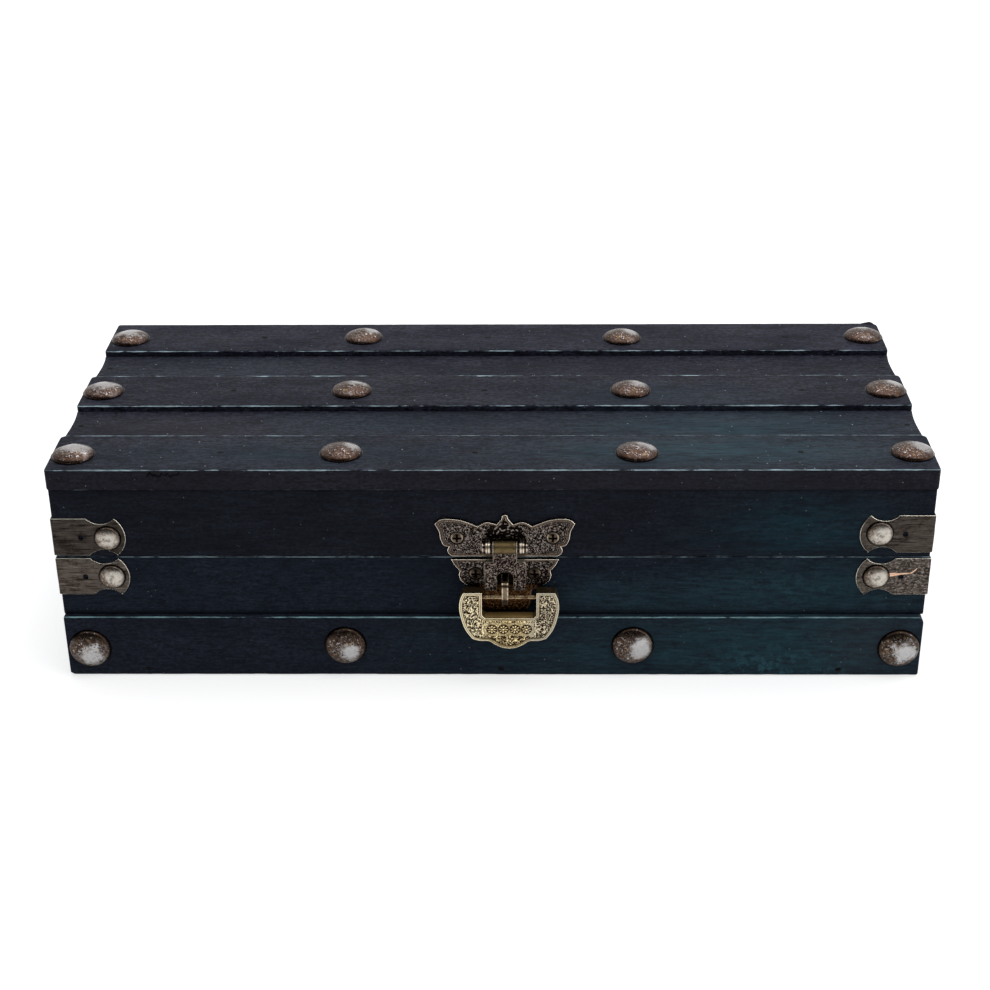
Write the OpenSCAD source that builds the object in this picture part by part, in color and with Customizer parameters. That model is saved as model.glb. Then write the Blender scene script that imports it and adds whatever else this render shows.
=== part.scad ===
// Jewelry box of stained planks with domed studs, corner straps,
// a butterfly hasp and an old-style padlock that hangs in its staple.
// X points right, Y back and Z up, from the floor under the middle of the box.

/* [Box] */
// Length of the top slats
box_w = 240.6; // [200:0.1:300]
// Depth over the top slats
box_d = 103.3; // [92:0.1:130]
// Height from the floor to the top of the slats
box_h = 64.6; // [54:0.1:90]
// Height of the base's rim as a share of the whole height
seam_share = 0.5805; // [0.5:0.0001:0.65]
// Gap between the rim and the closed lid
rim_gap = 0.15; // [0.1:0.05:0.4]
// Gap between the lower hasp plate and the band below it
tail_clear = 0.8; // [0.3:0.1:3]

/* [Planks] */
// Thickness of the thin planks of walls and top
plank_t = 4.6; // [4:0.1:6]
// How far slats and bands stand proud of the thin planks
proud = 1.6; // [0.8:0.1:2]
// Thickness of the end panels
end_t = 6; // [5:0.1:8]
// Thickness of the bottom board
bottom_t = 4; // [3:0.1:6]
// Overhang of the slats past the ends
over_x = 0.3; // [0:0.1:3]
// Overhang of the slats past the front and back walls
over_y = 0.8; // [0:0.1:1.5]
// Width of each top slat
slat_w = 21.8; // [18:0.1:23]
// How far the middle slat lies behind the middle of the box
middle_shift = 0.45; // [0:0.05:2]
// How far the sunk planks stop short of the slat ends
sunk_inset = 0.1; // [0:0.1:2]
// How far the bands stand past the ends
band_over = 0; // [0:0.1:1]
// Gap between neighbouring top planks
plank_gap = 0.1; // [0.05:0.05:0.5]
// Radius of the eased long edges of slats and bands
ease_r = 0.4; // [0.2:0.1:1]
// Radius of the rounded corners of slats and bands
corner_r = 1.2; // [0.5:0.1:2.5]
// Width of the battens under the top
batten_w = 14; // [12:0.5:20]
// Thickness of the battens under the top
batten_t = 3.2; // [2.5:0.1:6]

/* [Studs] */
// Radius of a domed stud
stud_r = 5.85; // [4:0.05:6]
// Height of a domed stud
stud_h = 2.4; // [2:0.1:4]
// Radius of the round edge of a stud's dome
stud_edge_r = 1.2; // [1:0.1:1.6]
// Sheet thickness of a stud's dome
stud_t = 0.7; // [0.5:0.1:0.9]
// Radius of a stud's nail
stud_nail_r = 0.8; // [0.6:0.1:1]
// How deep a stud's nail goes into the wood
stud_nail_l = 3.6; // [2:0.1:3.8]

/* [Brads] */
// Radius of a brad
brad_r = 0.5; // [0.4:0.05:0.7]
// Length of a brad
brad_l = 8.4; // [7:0.1:8.6]
// How deep a brad's head is sunk
brad_sink = 0.5; // [0:0.1:0.6]

/* [Corner straps] */
// Height of a strap
strap_h = 11.4; // [10:0.1:13]
// Length of one leg of a strap
strap_l = 19.8; // [18:0.1:24]
// Sheet thickness of a strap
strap_t = 0.5; // [0.3:0.1:0.8]
// How far the round end bulges past its two tips
strap_bulge = 2.7; // [1:0.1:3]
// Length of the straight stretch from the corner
strap_straight = 9.4; // [8:0.1:11]
// Depth of the hollow in each long edge
strap_hollow = 1.7; // [0.5:0.1:2]
// Gap between the lid's straps and the rim
lid_strap_gap = 1; // [0.5:0.1:3]
// Gap between the base's straps and the rim
base_strap_gap = 0.6; // [0.3:0.1:2]
// Distance of the strap nail from the corner
strap_nail_x = 14.6; // [12.5:0.1:15.5]
// Distance of the spare hole from the corner
strap_hole_x = 7.5; // [5:0.1:8.5]
// Radius of the spare hole
strap_hole_r = 0.75; // [0.4:0.05:1]
// Radius of a strap nail's domed head
strap_nail_r = 3.6; // [2.5:0.1:4]
// Height of a strap nail's domed head
strap_nail_h = 1.5; // [1:0.1:2]
// Radius of a strap nail's shank
strap_shank_r = 0.6; // [0.4:0.05:0.8]
// How deep a strap nail goes into the wood
strap_shank_l = 3.4; // [2:0.1:3.6]

/* [Hasp] */
// How far the hasp sits right of the middle of the box
hasp_x = 3.7; // [-10:0.1:10]
// Half the span of the upper plate's wings
wing_half = 19.1; // [17:0.1:22]
// Height of the upper plate with its finial
wing_h = 12.75; // [12:0.05:14]
// Half the width of the lower plate
tail_half = 14.8; // [13.5:0.1:18]
// Height of the lower plate
tail_h = 17.4; // [17:0.1:18]
// Height of the upper plate's foot above the rim
wing_lift = 0.8; // [0.6:0.1:1.2]
// Drop of the lower plate's top below the rim
tail_drop = 0.2; // [0.1:0.1:0.5]
// Thickness of the hasp plates
plate_t = 1.1; // [0.9:0.1:1.4]
// Width of the raised rim round the plates
plate_rim_w = 0.6; // [0.4:0.1:0.9]
// Height of the raised rim round the plates
plate_rim_h = 0.3; // [0.1:0.05:0.4]
// Half the length of the tongue's knuckle
knuckle_half = 3.3; // [2.8:0.1:3.6]
// Radius of the knuckles
knuckle_r = 1.75; // [1.5:0.05:1.9]
// Height of the tongue's hinge above the upper plate's foot
knuckle_z = 3.7; // [3.4:0.1:4.2]
// Thickness of the lugs that carry the hasp's pin
lug_t = 1.5; // [1:0.1:2]
// Gap beside the tongue's knuckle
lug_gap = 0.4; // [0.2:0.05:0.6]
// Radius of the hasp's pin
hasp_pin_r = 0.6; // [0.4:0.05:0.8]
// Thickness of the hasp pin's riveted ends beside the lugs
hasp_pin_over = 0.9; // [0.3:0.1:1.2]
// Radius of the hasp pin's riveted ends
hasp_rivet_r = 1.4; // [1:0.1:1.5]
// Thickness of the tongue
tongue_t = 1.2; // [0.9:0.1:1.3]
// Half the width of the tongue
tongue_half = 5.8; // [4.5:0.1:6]
// Length of the tongue below its hinge
tongue_l = 13.8; // [12.5:0.1:13.9]
// Length of the tongue's narrow neck below its hinge
neck_l = 4.7; // [4:0.1:5.5]
// Half the width of the tongue's slot
slot_half = 2.2; // [1.5:0.1:2.5]
// Length of the tongue's slot
slot_l = 5.8; // [5:0.1:6]
// Radius of the tongue's shoulders
shoulder_r = 1; // [0.5:0.1:1.2]
// Distance of the upper screws from the hasp's middle
wing_screw_x = 13.1; // [12:0.1:14]
// Height of the upper screws above the upper plate's foot
wing_screw_z = 5.6; // [5:0.1:6]
// Distance of the lower screws from the hasp's middle
tail_screw_x = 8.1; // [7.8:0.1:9]
// Drop of the lower screws below the lower plate's top
tail_screw_z = 4.6; // [4:0.1:5.2]

/* [Screws] */
// Radius of a screw's head
screw_head_r = 1.75; // [1.4:0.05:1.9]
// Height of a screw's head
screw_head_h = 0.6; // [0.4:0.1:0.8]
// Radius of a screw's shank
screw_r = 0.8; // [0.6:0.05:1]
// How deep a screw goes into the wood
screw_l = 3.6; // [2.5:0.1:3.8]
// Width of the cross recess
cross_w = 0.5; // [0.3:0.05:0.6]
// Depth of the cross recess
cross_d = 0.3; // [0.2:0.05:0.5]

/* [Staple] */
// Width of the staple's strip
staple_w = 1.75; // [1.2:0.05:2]
// Thickness of the staple's strip
staple_t = 1.35; // [1:0.05:1.5]
// Height of the staple's loop
staple_h = 7.2; // [6.8:0.1:7.4]
// Outer radius of the staple's front corners
staple_r = 1.6; // [1.4:0.1:1.9]
// How deep the staple's legs go into the wood
staple_leg = 3.4; // [2:0.1:3.6]

/* [Padlock] */
// How far the padlock hangs right of the staple
lock_shift = 1.1; // [0.6:0.1:1.4]
// Gap between the padlock's back and the band
lock_clear = 1.05; // [0.9:0.05:2]
// Gap between the padlock's ears and the tongue
ear_clear = 0.6; // [0.4:0.05:1.2]
// Gap between the turning tongue's tip and the padlock's bar
tip_clear = 0.43; // [0.3:0.01:1]
// Half the width of the padlock
lock_half = 13.7; // [13.2:0.1:15]
// Height of the padlock
lock_h = 17.8; // [17.4:0.1:18.2]
// Height of the padlock's top above its bar
lock_top = 2.2; // [1.6:0.1:2.5]
// Thickness of the padlock's cast body
cast_t = 2.7; // [2.6:0.1:3]
// Thickness of the padlock's back plate
back_t = 0.7; // [0.5:0.1:0.9]
// Depth of the gap between the padlock's ears
ear_gap_h = 8; // [7:0.1:9]
// Wall between the gap and the channel of the spring leg
floor_wall = 0.8; // [0.5:0.1:1]
// Chamfer at the foot of the gap
ear_chamfer = 0.9; // [0.5:0.1:1.2]
// Width of the raised rim round the padlock
lock_rim_w = 0.9; // [0.6:0.1:1.2]
// Height of the raised rim round the padlock
lock_rim_h = 0.35; // [0.2:0.05:0.5]
// Radius of the padlock's bar
bar_r = 0.6; // [0.5:0.05:0.65]
// Gap between the bar and the staple that carries it
bar_gap = 0.1; // [0.05:0.05:0.2]
// Wood-side wall of the padlock's body behind the bar
bore_wall = 0.35; // [0.3:0.05:0.5]
// Height of the spring leg
leg_h = 1.4; // [1:0.1:1.6]
// Thickness of the spring leg
leg_t = 1; // [0.8:0.1:1.1]
// Gap round the spring leg in its channel
leg_gap = 0.3; // [0.2:0.05:0.4]
// Room above and below the leg for its leaf springs
leaf_room = 0.6; // [0.5:0.05:0.7]
// Thickness of a leaf spring
leaf_t = 0.2; // [0.1:0.05:0.25]
// Length of a leaf spring
leaf_l = 6; // [4:0.1:8]
// Width of the bolt's cross link
link_w = 1.3; // [1:0.1:1.5]
// Height of the keyhole
keyhole_h = 1.8; // [1:0.1:2.2]
// Depth of the keyhole, front to back
keyhole_d = 0.9; // [0.6:0.1:1.2]

/* [Hinges] */
// Width of a hinge
hinge_w = 20; // [16:0.5:30]
// Height of one hinge leaf
leaf_h = 10; // [9:0.1:14]
// Thickness of a hinge leaf
hinge_t = 0.8; // [0.6:0.1:1]
// Radius of the hinge barrel
barrel_r = 1.6; // [1.5:0.1:2]
// Gap between the barrel and the back wall
barrel_gap = 0.3; // [0.25:0.05:0.5]
// Radius of the hinge pin
hinge_pin_r = 0.8; // [0.6:0.05:0.9]
// Width of the middle knuckle
mid_knuckle = 9; // [7:0.1:12]
// Gap between neighbouring knuckles
knuckle_gap = 0.3; // [0.2:0.05:0.5]

/* [Hidden] */
$fn = 48;

// Colours of the finishes
wood_color = [0.10, 0.12, 0.17];
teal_color = [0.08, 0.16, 0.19];
inner_color = [0.13, 0.14, 0.18];
stud_color = [0.45, 0.38, 0.31];
strap_color = [0.30, 0.27, 0.23];
nail_color = [0.62, 0.58, 0.52];
bronze_color = [0.25, 0.18, 0.14];
gold_color = [0.55, 0.46, 0.26];
steel_color = [0.35, 0.34, 0.33];

// One overrun serves every cut
cut = 0.5;
// Clearance of a driven nail or screw in its hole
hole_fit = 0.02;
// Radial clearance of a shaft that turns or slides
run_fit = 0.05;
// Steps between two points of a smooth outline
smooth_steps = 6;

// Main planes of the box
seam_z = seam_share * box_h;
wall_x = box_w / 2 - over_x;
wall_y = box_d / 2 - over_y;
inner_x = wall_x - end_t;
inner_y = wall_y - plank_t;
thick_t = plank_t + proud;
rail_top = box_h - thick_t;
band_h = seam_z - tail_drop - tail_h - tail_clear;
lid_foot = seam_z + rim_gap;
middle_y = middle_shift;

// Places of studs, as shares of half the slat's length and width; on the band, of its height
front_stud_shares = [[-0.949, -0.16], [-0.341, -0.05], [0.33, -0.05], [0.95, -0.05]];
middle_stud_shares = [[-0.95, -0.09], [-0.345, -0.04], [0.333, -0.03], [0.95, -0.05]];
rear_stud_shares = [[-0.948, -0.11], [-0.342, -0.02], [0.327, -0.09], [0.95, -0.02]];
band_stud_shares = [[-0.943, 0.465], [-0.343, 0.522], [0.327, 0.522], [0.946, 0.476]];
// Places of battens and of the brads in them, as shares of half the slat
batten_shares = [-0.617, -0.026, 0.735];
batten_brad_shares = [[-0.616, -0.037, 0.70], [-0.635, -0.022, 0.75], [-0.6, -0.02, 0.749]];
// Places of the brads that hold the bottom board, as shares of half the slat
bottom_brad_shares = [-0.81, 0.02, 0.81];
// Places of the brads in a strap's height, as shares of it
strap_brad_shares = [0.3, 0.7];

// Hand-set straps, left and right, as shares of the strap's height: lift of the strap,
// shift of its front nail from the corner, and lift of that nail
lid_strap_shares = [[-0.045, 0.02, -0.027], [0.035, -0.02, 0.021]];
base_strap_shares = [[0.02, 0.026, 0.005], [0.02, -0.026, 0.005]];

// Corner straps
lid_strap_z = lid_foot + lid_strap_gap + strap_h / 2;
base_strap_z = seam_z - base_strap_gap - strap_h / 2;
strap_tip_x = strap_l - strap_bulge;
strap_end_r = (pow(strap_h / 2, 2) + pow(strap_bulge, 2)) / (2 * strap_bulge);
hollow_half = (strap_tip_x - strap_straight) / 2;
hollow_r = (pow(hollow_half, 2) + pow(strap_hollow, 2)) / (2 * strap_hollow);

// Hasp, measured outwards from the front wall and up from the floor
wing_foot = seam_z + wing_lift;
tail_top = seam_z - tail_drop;
axis_out = plate_t + knuckle_r;
axis_z = wing_foot + knuckle_z;
tongue_gap = 0.35;
tongue_back = plate_t + tongue_gap;
lug_x = knuckle_half + lug_gap;
pin_half = lug_x + lug_t + hasp_pin_over;

// Padlock and staple, measured the same way; the bar lies just below the tongue's tip
cast_back = proud + lock_clear + back_t;
bar_out = cast_back + bore_wall + run_fit + bar_r;
bar_z = axis_z - sqrt(pow(tongue_l + tip_clear + bar_r, 2) - pow(bar_out - axis_out, 2));
staple_out = bar_out + bar_r + bar_gap + staple_t;
staple_foot = bar_z - bar_r - bar_gap - staple_t;
staple_top = staple_foot + staple_h;
lock_x = hasp_x + lock_shift;
lock_foot = bar_z + lock_top - lock_h;
gap_floor = bar_z + lock_top - ear_gap_h;
ear_gap_half = tongue_half + lock_shift + ear_clear;
channel_h = leg_h + 2 * leaf_room;
channel_t = leg_t + 2 * leg_gap;
leg_z = gap_floor - floor_wall - channel_h / 2;
leg_drop = bar_z - leg_z;
link_x_share = 0.775;
link_x = link_x_share * lock_half;
leg_left_share = -0.69;
channel_left = leg_left_share * lock_half - leg_gap;
bar_left_share = -0.93;

// Hinges
hinge_x_share = 0.6;
hinge_axis_y = wall_y + barrel_gap + barrel_r;
hinge_axis_z = seam_z + rim_gap / 2;
hinge_screw_x = hinge_w / 4 + knuckle_gap;
hinge_screw_z = (leaf_h + barrel_r) / 2;

// Outline points, as shares of half the width and of the height
finial_shares = [[0, 1], [0.033, 0.985], [0.045, 0.92], [0.07, 0.86], [0.12, 0.77]];
scroll_shares = [[0.12, 0.77], [0.175, 0.80], [0.25, 0.825], [0.32, 0.79], [0.39, 0.72]];
wing_top_shares = [[0.39, 0.72], [0.50, 0.80], [0.63, 0.87], [0.79, 0.905],
                   [0.92, 0.885], [1, 0.79]];
wing_side_shares = [[1, 0.79], [0.94, 0.60], [0.92, 0.41], [0.875, 0.27], [0.80, 0.235]];
wing_foot_shares = [[0.80, 0.235], [0.825, 0.14], [0.80, 0.05], [0.755, 0]];
tail_side_shares = [[1, 1], [0.93, 0.885], [0.84, 0.79]];
tail_lobe_shares = [[0.84, 0.79], [0.86, 0.71], [0.83, 0.62]];
tail_curl_shares = [[0.83, 0.62], [0.74, 0.55], [0.62, 0.49], [0.52, 0.44]];
tail_foot_shares = [[0.52, 0.44], [0.49, 0.32], [0.48, 0.20], [0.40, 0.09],
                    [0.22, 0.02], [0, 0]];
lock_side_shares = [[0.92, 1], [0.985, 0.87], [1, 0.70], [0.949, 0.486],
                    [0.869, 0.317], [0.745, 0.177]];
lock_foot_shares = [[0.745, 0.177], [0.599, 0.143], [0.409, 0.135], [0.285, 0.073],
                    [0.146, 0.02], [0, 0]];

// Point at share t of the smooth curve from b to c, with a and d as neighbours
function curve_point(a, b, c, d, t) =
    b + t * (c - a) / 2
    + t * t * (2 * a - 5 * b + 4 * c - d) / 2
    + t * t * t * (3 * b - a - 3 * c + d) / 2;

// Smooth curve through the points p, without its last point
function curve(p) = [
    for (i = [0 : len(p) - 2], k = [0 : smooth_steps - 1])
        curve_point(p[max(i - 1, 0)], p[i], p[i + 1], p[min(i + 2, len(p) - 1)],
                    k / smooth_steps)
];

function last_point(p) = p[len(p) - 1];
function scaled(p, w, h) = [for (q = p) [q[0] * w, q[1] * h]];
function flipped(p) = [for (i = [len(p) - 1 : -1 : 0]) [-p[i][0], p[i][1]]];

// Right half of an outline from its spans, the last point kept
function half_outline(spans) = concat(
    [for (s = spans) each curve(s)],
    [last_point(spans[len(spans) - 1])]
);

// Carries children from a flat drawing to the front wall, out towards the viewer
module on_front(x, z) {
    translate([x, -wall_y, z]) rotate([90, 0, 0]) children();
}

// The same for the back wall
module on_back(x, z) {
    translate([x, wall_y, z]) rotate([90, 0, 180]) children();
}

// Rectangle from the origin whose two top corners are rounded
module eased_profile(w, h, r) {
    square([w, h - r]);
    translate([r, 0]) square([w - 2 * r, h]);
    for (x = [r, w - r]) translate([x, h - r]) circle(r);
}

// Rectangle centred on the origin with four round corners
module round_rect(w, h, r) {
    square([w - 2 * r, h], center = true);
    square([w, h - 2 * r], center = true);
    for (x = [-1, 1], y = [-1, 1])
        translate([x * (w / 2 - r), y * (h / 2 - r)]) circle(r);
}

// Half profile of a dome with a round edge, the same all over by t inside its outer face
module dome_profile(r, h, edge_r, t, drop) {
    mid_r = r - edge_r;
    crown_r = (mid_r * mid_r + h * h - edge_r * edge_r) / (2 * (h - edge_r));
    join_x = mid_r + (edge_r - t) * mid_r / (crown_r - edge_r);
    intersection() {
        translate([0, h - crown_r]) circle(crown_r - t, $fn = 144);
        translate([0, -drop]) square([join_x, h + drop]);
    }
    intersection() {
        translate([mid_r, 0]) circle(edge_r - t);
        square([r, h]);
    }
    if (drop > 0) translate([0, -drop]) square([r - t, drop]);
}

// Shell of a dome on its rim, closed at the top, with the nail below
module dome_nail(r, h, edge_r, t, nail_r, nail_l) {
    rotate_extrude() {
        difference() {
            dome_profile(r, h, edge_r, 0, 0);
            dome_profile(r, h, edge_r, t, cut);
        }
        translate([0, -nail_l]) square([nail_r, nail_l + h - t / 2]);
    }
}

// Solid low dome with its shank below
module button_nail(r, h, nail_r, nail_l) {
    ball_r = (r * r + h * h) / (2 * h);
    rotate_extrude() {
        intersection() {
            translate([0, h - ball_r]) circle(ball_r, $fn = 96);
            square([r, h]);
        }
        translate([0, -nail_l]) square([nail_r, nail_l + h / 2]);
    }
}

// Screw that stands on a sheet of thickness t, with its cross recess
module screw(t) {
    difference() {
        button_nail(screw_head_r, screw_head_h, screw_r, screw_l + t);
        for (a = [0, 90]) rotate([0, 0, a])
            translate([-screw_head_r * 2 / 3, -cross_w / 2, screw_head_h - cross_d])
                cube([screw_head_r * 4 / 3, cross_w, cross_d + cut]);
    }
}

module nail_hole(r, depth, above) {
    translate([0, 0, -depth - hole_fit]) cylinder(r = r + hole_fit, h = depth + above);
}

// Brad with its head sunk under the surface
module brad() {
    translate([0, 0, -brad_sink - brad_l]) cylinder(r = brad_r, h = brad_l, $fn = 24);
}

module brad_hole() {
    translate([0, 0, -brad_sink - brad_l - hole_fit])
        cylinder(r = brad_r + hole_fit, h = brad_sink + brad_l + cut, $fn = 24);
}

// Places of nails and screws, each with its outward direction along Z
module at_slat_studs(shares, y) {
    for (s = shares)
        translate([s[0] * box_w / 2, y + s[1] * slat_w / 2, box_h]) children();
}

module at_band_studs() {
    for (s = band_stud_shares)
        on_front(s[0] * box_w / 2, s[1] * band_h) translate([0, 0, proud]) children();
}

module at_batten_brads(row, y) {
    for (s = batten_brad_shares[row]) translate([s * box_w / 2, y, box_h]) children();
}

module at_sunk_brads(y) {
    for (x = [-1, 1])
        translate([x * (inner_x + end_t / 2), y, box_h - proud]) children();
}

module at_end_brads(z) {
    for (x = [-1, 1], s = strap_brad_shares) {
        on_front(x * (inner_x + end_t / 2), z + (s - 0.5) * strap_h) children();
        on_back(x * (inner_x + end_t / 2), z + (s - 0.5) * strap_h) children();
    }
}

module at_bottom_brads() {
    for (s = bottom_brad_shares) {
        on_front(s * box_w / 2, bottom_t / 2) translate([0, 0, proud]) children();
        on_back(s * box_w / 2, bottom_t / 2) translate([0, 0, proud]) children();
    }
}

// Row of a table for the left or the right side
function of_side(shares, side) = shares[side > 0 ? 1 : 0];

// Height of a strap's middle, and place of its front nail in its flat outline
function strap_z(side, z, shares) = z + of_side(shares, side)[0] * strap_h;
function front_nail(side, shares) = [strap_nail_x + of_side(shares, side)[1] * strap_h,
                                     of_side(shares, side)[2] * strap_h];

// Both nails of a strap, at the corner on the given side
module at_strap_nails(side, z, shares) {
    nail = front_nail(side, shares);
    foot_z = strap_z(side, z, shares);
    on_front(side * (wall_x - nail[0]), foot_z + nail[1]) children();
    translate([side * wall_x, strap_nail_x - wall_y, foot_z])
        rotate([0, side * 90, 0]) children();
}

module at_wing_screws() {
    for (x = [-1, 1])
        on_front(hasp_x + x * wing_screw_x, wing_foot + wing_screw_z) children();
}

module at_tail_screws() {
    for (x = [-1, 1])
        on_front(hasp_x + x * tail_screw_x, tail_top - tail_screw_z) children();
}

module at_hinge_screws(up) {
    for (h = [-1, 1], x = [-1, 1])
        on_back(h * hinge_x_share * box_w / 2 + x * hinge_screw_x,
                hinge_axis_z + up * hinge_screw_z) children();
}

module strap_nail_holes(side, z, shares) {
    at_strap_nails(side, z, shares)
        nail_hole(strap_shank_r, strap_shank_l, strap_t + cut);
}

module screw_holes() {
    nail_hole(screw_r, screw_l, plate_t + cut);
}

// Wall planks, rails and ends
module wall_plank(y0, z0, z1) {
    translate([-wall_x, y0, z0]) cube([2 * wall_x, plank_t, z1 - z0]);
}

module end_panel(side, z0, z1) {
    translate([side > 0 ? inner_x : -wall_x, -inner_y, z0])
        cube([end_t, 2 * inner_y, z1 - z0]);
}

// Proud band of the front wall, as long as the ends with its own small overhang
module band() {
    half = wall_x + band_over;
    intersection() {
        translate([-half, -wall_y - proud, 0]) rotate([90, 0, 90])
            linear_extrude(2 * half) {
                eased = thick_t + 2 * ease_r;
                intersection() {
                    eased_profile(eased, band_h, ease_r);
                    square([thick_t, band_h]);
                }
            }
        translate([0, -inner_y, band_h / 2]) rotate([90, 0, 0])
            linear_extrude(thick_t) round_rect(2 * half, band_h, corner_r);
    }
}

// Top plank of width w and thickness t, its top at z
module top_plank(half, y, w, t, z) {
    intersection() {
        translate([-half, y - w / 2, z - t]) rotate([90, 0, 90])
            linear_extrude(2 * half) eased_profile(w, t, ease_r);
        translate([0, y, z - t]) linear_extrude(t) round_rect(2 * half, w, corner_r);
    }
}

module slat(y) {
    top_plank(box_w / 2, y, slat_w, thick_t, box_h);
}

module sunk_plank(y0, y1) {
    translate([-box_w / 2 + sunk_inset, y0 + plank_gap, rail_top])
        cube([box_w - 2 * sunk_inset, y1 - y0 - 2 * plank_gap, plank_t]);
}

// Metal pieces
module strap_outline(nail) {
    difference() {
        union() {
            translate([0, -strap_h / 2]) square([strap_tip_x, strap_h]);
            intersection() {
                translate([strap_l - strap_end_r, 0]) circle(strap_end_r, $fn = 96);
                translate([strap_tip_x, -strap_h / 2]) square([strap_bulge, strap_h]);
            }
        }
        for (y = [-1, 1])
            translate([strap_tip_x - hollow_half,
                       y * (strap_h / 2 - strap_hollow + hollow_r)])
                circle(hollow_r, $fn = 64);
        translate([strap_hole_x, 0]) circle(strap_hole_r);
        translate(nail) circle(strap_shank_r + hole_fit);
    }
}

// Strap that wraps the front corner on the left; the right one is its mirror image
module strap(side, z, shares) {
    mirror([side > 0 ? 1 : 0, 0, 0]) {
        translate([-wall_x, -wall_y, strap_z(side, z, shares)]) {
            rotate([90, 0, 0]) linear_extrude(strap_t)
                strap_outline(front_nail(side, shares));
            rotate([90, 0, -90]) mirror([1, 0, 0])
                linear_extrude(strap_t) strap_outline([strap_nail_x, 0]);
            intersection() {
                cylinder(r = strap_t, h = strap_h, center = true);
                translate([-strap_t, -strap_t, -strap_h / 2])
                    cube([strap_t, strap_t, strap_h]);
            }
        }
    }
}

// Plate of the given outline with a raised rim
module rimmed_plate(points, t, rim_w, rim_h) {
    difference() {
        linear_extrude(t) polygon(points);
        translate([0, 0, t - rim_h]) linear_extrude(rim_h + cut)
            offset(delta = -rim_w) polygon(points);
    }
}

module wing_points_plate() {
    half = scaled(half_outline([finial_shares, scroll_shares, wing_top_shares,
                                wing_side_shares, wing_foot_shares]),
                  wing_half, wing_h);
    rimmed_plate(concat(half, flipped(half)), plate_t, plate_rim_w, plate_rim_h);
}

module tail_points_plate() {
    half = scaled(half_outline([tail_side_shares, tail_lobe_shares, tail_curl_shares,
                                tail_foot_shares]),
                  tail_half, tail_h);
    rimmed_plate(concat(half, flipped(half)), plate_t, plate_rim_w, plate_rim_h);
}

// Cylinder along X between two places, seen from the front wall
module along_x(x0, x1, r, out, z) {
    on_front(hasp_x, z) translate([x0, 0, out]) rotate([0, 90, 0])
        cylinder(r = r, h = x1 - x0);
}

module lug(side) {
    x0 = side > 0 ? lug_x : -lug_x - lug_t;
    along_x(x0, x0 + lug_t, knuckle_r, axis_out, axis_z);
    on_front(hasp_x + x0, axis_z - knuckle_r) translate([0, 0, plate_t / 2])
        cube([lug_t, 2 * knuckle_r, axis_out - plate_t / 2]);
}

module tongue_outline() {
    leg_foot = -tongue_l;
    difference() {
        union() {
            translate([-knuckle_half, -neck_l - shoulder_r])
                square([2 * knuckle_half, neck_l + shoulder_r]);
            translate([0, (leg_foot - neck_l) / 2])
                round_rect(2 * tongue_half, tongue_l - neck_l, shoulder_r);
        }
        polygon([[-slot_half, leg_foot - cut], [slot_half, leg_foot - cut],
                 [slot_half, leg_foot + slot_l - shoulder_r],
                 [slot_half - shoulder_r, leg_foot + slot_l],
                 [shoulder_r - slot_half, leg_foot + slot_l],
                 [-slot_half, leg_foot + slot_l - shoulder_r]]);
    }
}

// Outline of the padlock with the gap between its ears, its foot at y zero
module lock_outline() {
    half = scaled(half_outline([lock_side_shares, lock_foot_shares]), lock_half, lock_h);
    floor_y = lock_h - ear_gap_h;
    difference() {
        polygon(concat(half, flipped(half)));
        polygon([[-ear_gap_half, lock_h + cut], [ear_gap_half, lock_h + cut],
                 [ear_gap_half, floor_y + ear_chamfer],
                 [ear_gap_half - ear_chamfer, floor_y],
                 [ear_chamfer - ear_gap_half, floor_y],
                 [-ear_gap_half, floor_y + ear_chamfer]]);
    }
}

// One barrel stretch and one leaf of a hinge; up is 1 on the lid and -1 on the base
module knuckle(x0, x1) {
    translate([x0, hinge_axis_y, hinge_axis_z]) rotate([0, 90, 0])
        cylinder(r = barrel_r, h = x1 - x0);
}

module leaf_root(x0, x1, up) {
    translate([x0, wall_y, up > 0 ? hinge_axis_z : hinge_axis_z - leaf_h])
        cube([x1 - x0, hinge_t, leaf_h]);
}

module hinge_leaf(x, up) {
    mid_half = mid_knuckle / 2;
    outer = hinge_w / 2;
    relief = barrel_r + knuckle_gap;
    spans = up > 0 ? [[-mid_half, mid_half]]
                   : [[-outer, -mid_half - knuckle_gap], [mid_half + knuckle_gap, outer]];
    difference() {
        translate([x, 0, 0]) {
            for (s = spans) {
                knuckle(s[0], s[1]);
                leaf_root(s[0], s[1], up);
            }
            translate([-outer, wall_y,
                       hinge_axis_z + (up > 0 ? relief : -leaf_h)])
                cube([hinge_w, hinge_t, leaf_h - relief]);
        }
        translate([x - outer - cut, hinge_axis_y, hinge_axis_z]) rotate([0, 90, 0])
            cylinder(r = hinge_pin_r + run_fit, h = hinge_w + 2 * cut);
        at_hinge_screws(up) nail_hole(screw_r, screw_l, hinge_t + cut);
    }
}

// Base
module bottom_board() {
    color(inner_color) difference() {
        translate([-inner_x, -inner_y, 0]) cube([2 * inner_x, 2 * inner_y, bottom_t]);
        at_bottom_brads() brad_hole();
    }
}

module base_front_plank() {
    color(wood_color) difference() {
        wall_plank(-wall_y, band_h, seam_z);
        at_end_brads(base_strap_z) brad_hole();
        for (side = [-1, 1]) strap_nail_holes(side, base_strap_z, base_strap_shares);
        at_tail_screws() screw_holes();
        staple_sockets(staple_leg + hole_fit);
    }
}

module base_front_band() {
    color(teal_color) difference() {
        band();
        at_band_studs() nail_hole(stud_nail_r, stud_nail_l, cut);
        at_bottom_brads() brad_hole();
    }
}

module base_back_plank() {
    color(wood_color) difference() {
        wall_plank(inner_y, band_h, seam_z);
        at_end_brads(base_strap_z) brad_hole();
        at_hinge_screws(-1) screw_holes();
    }
}

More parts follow.
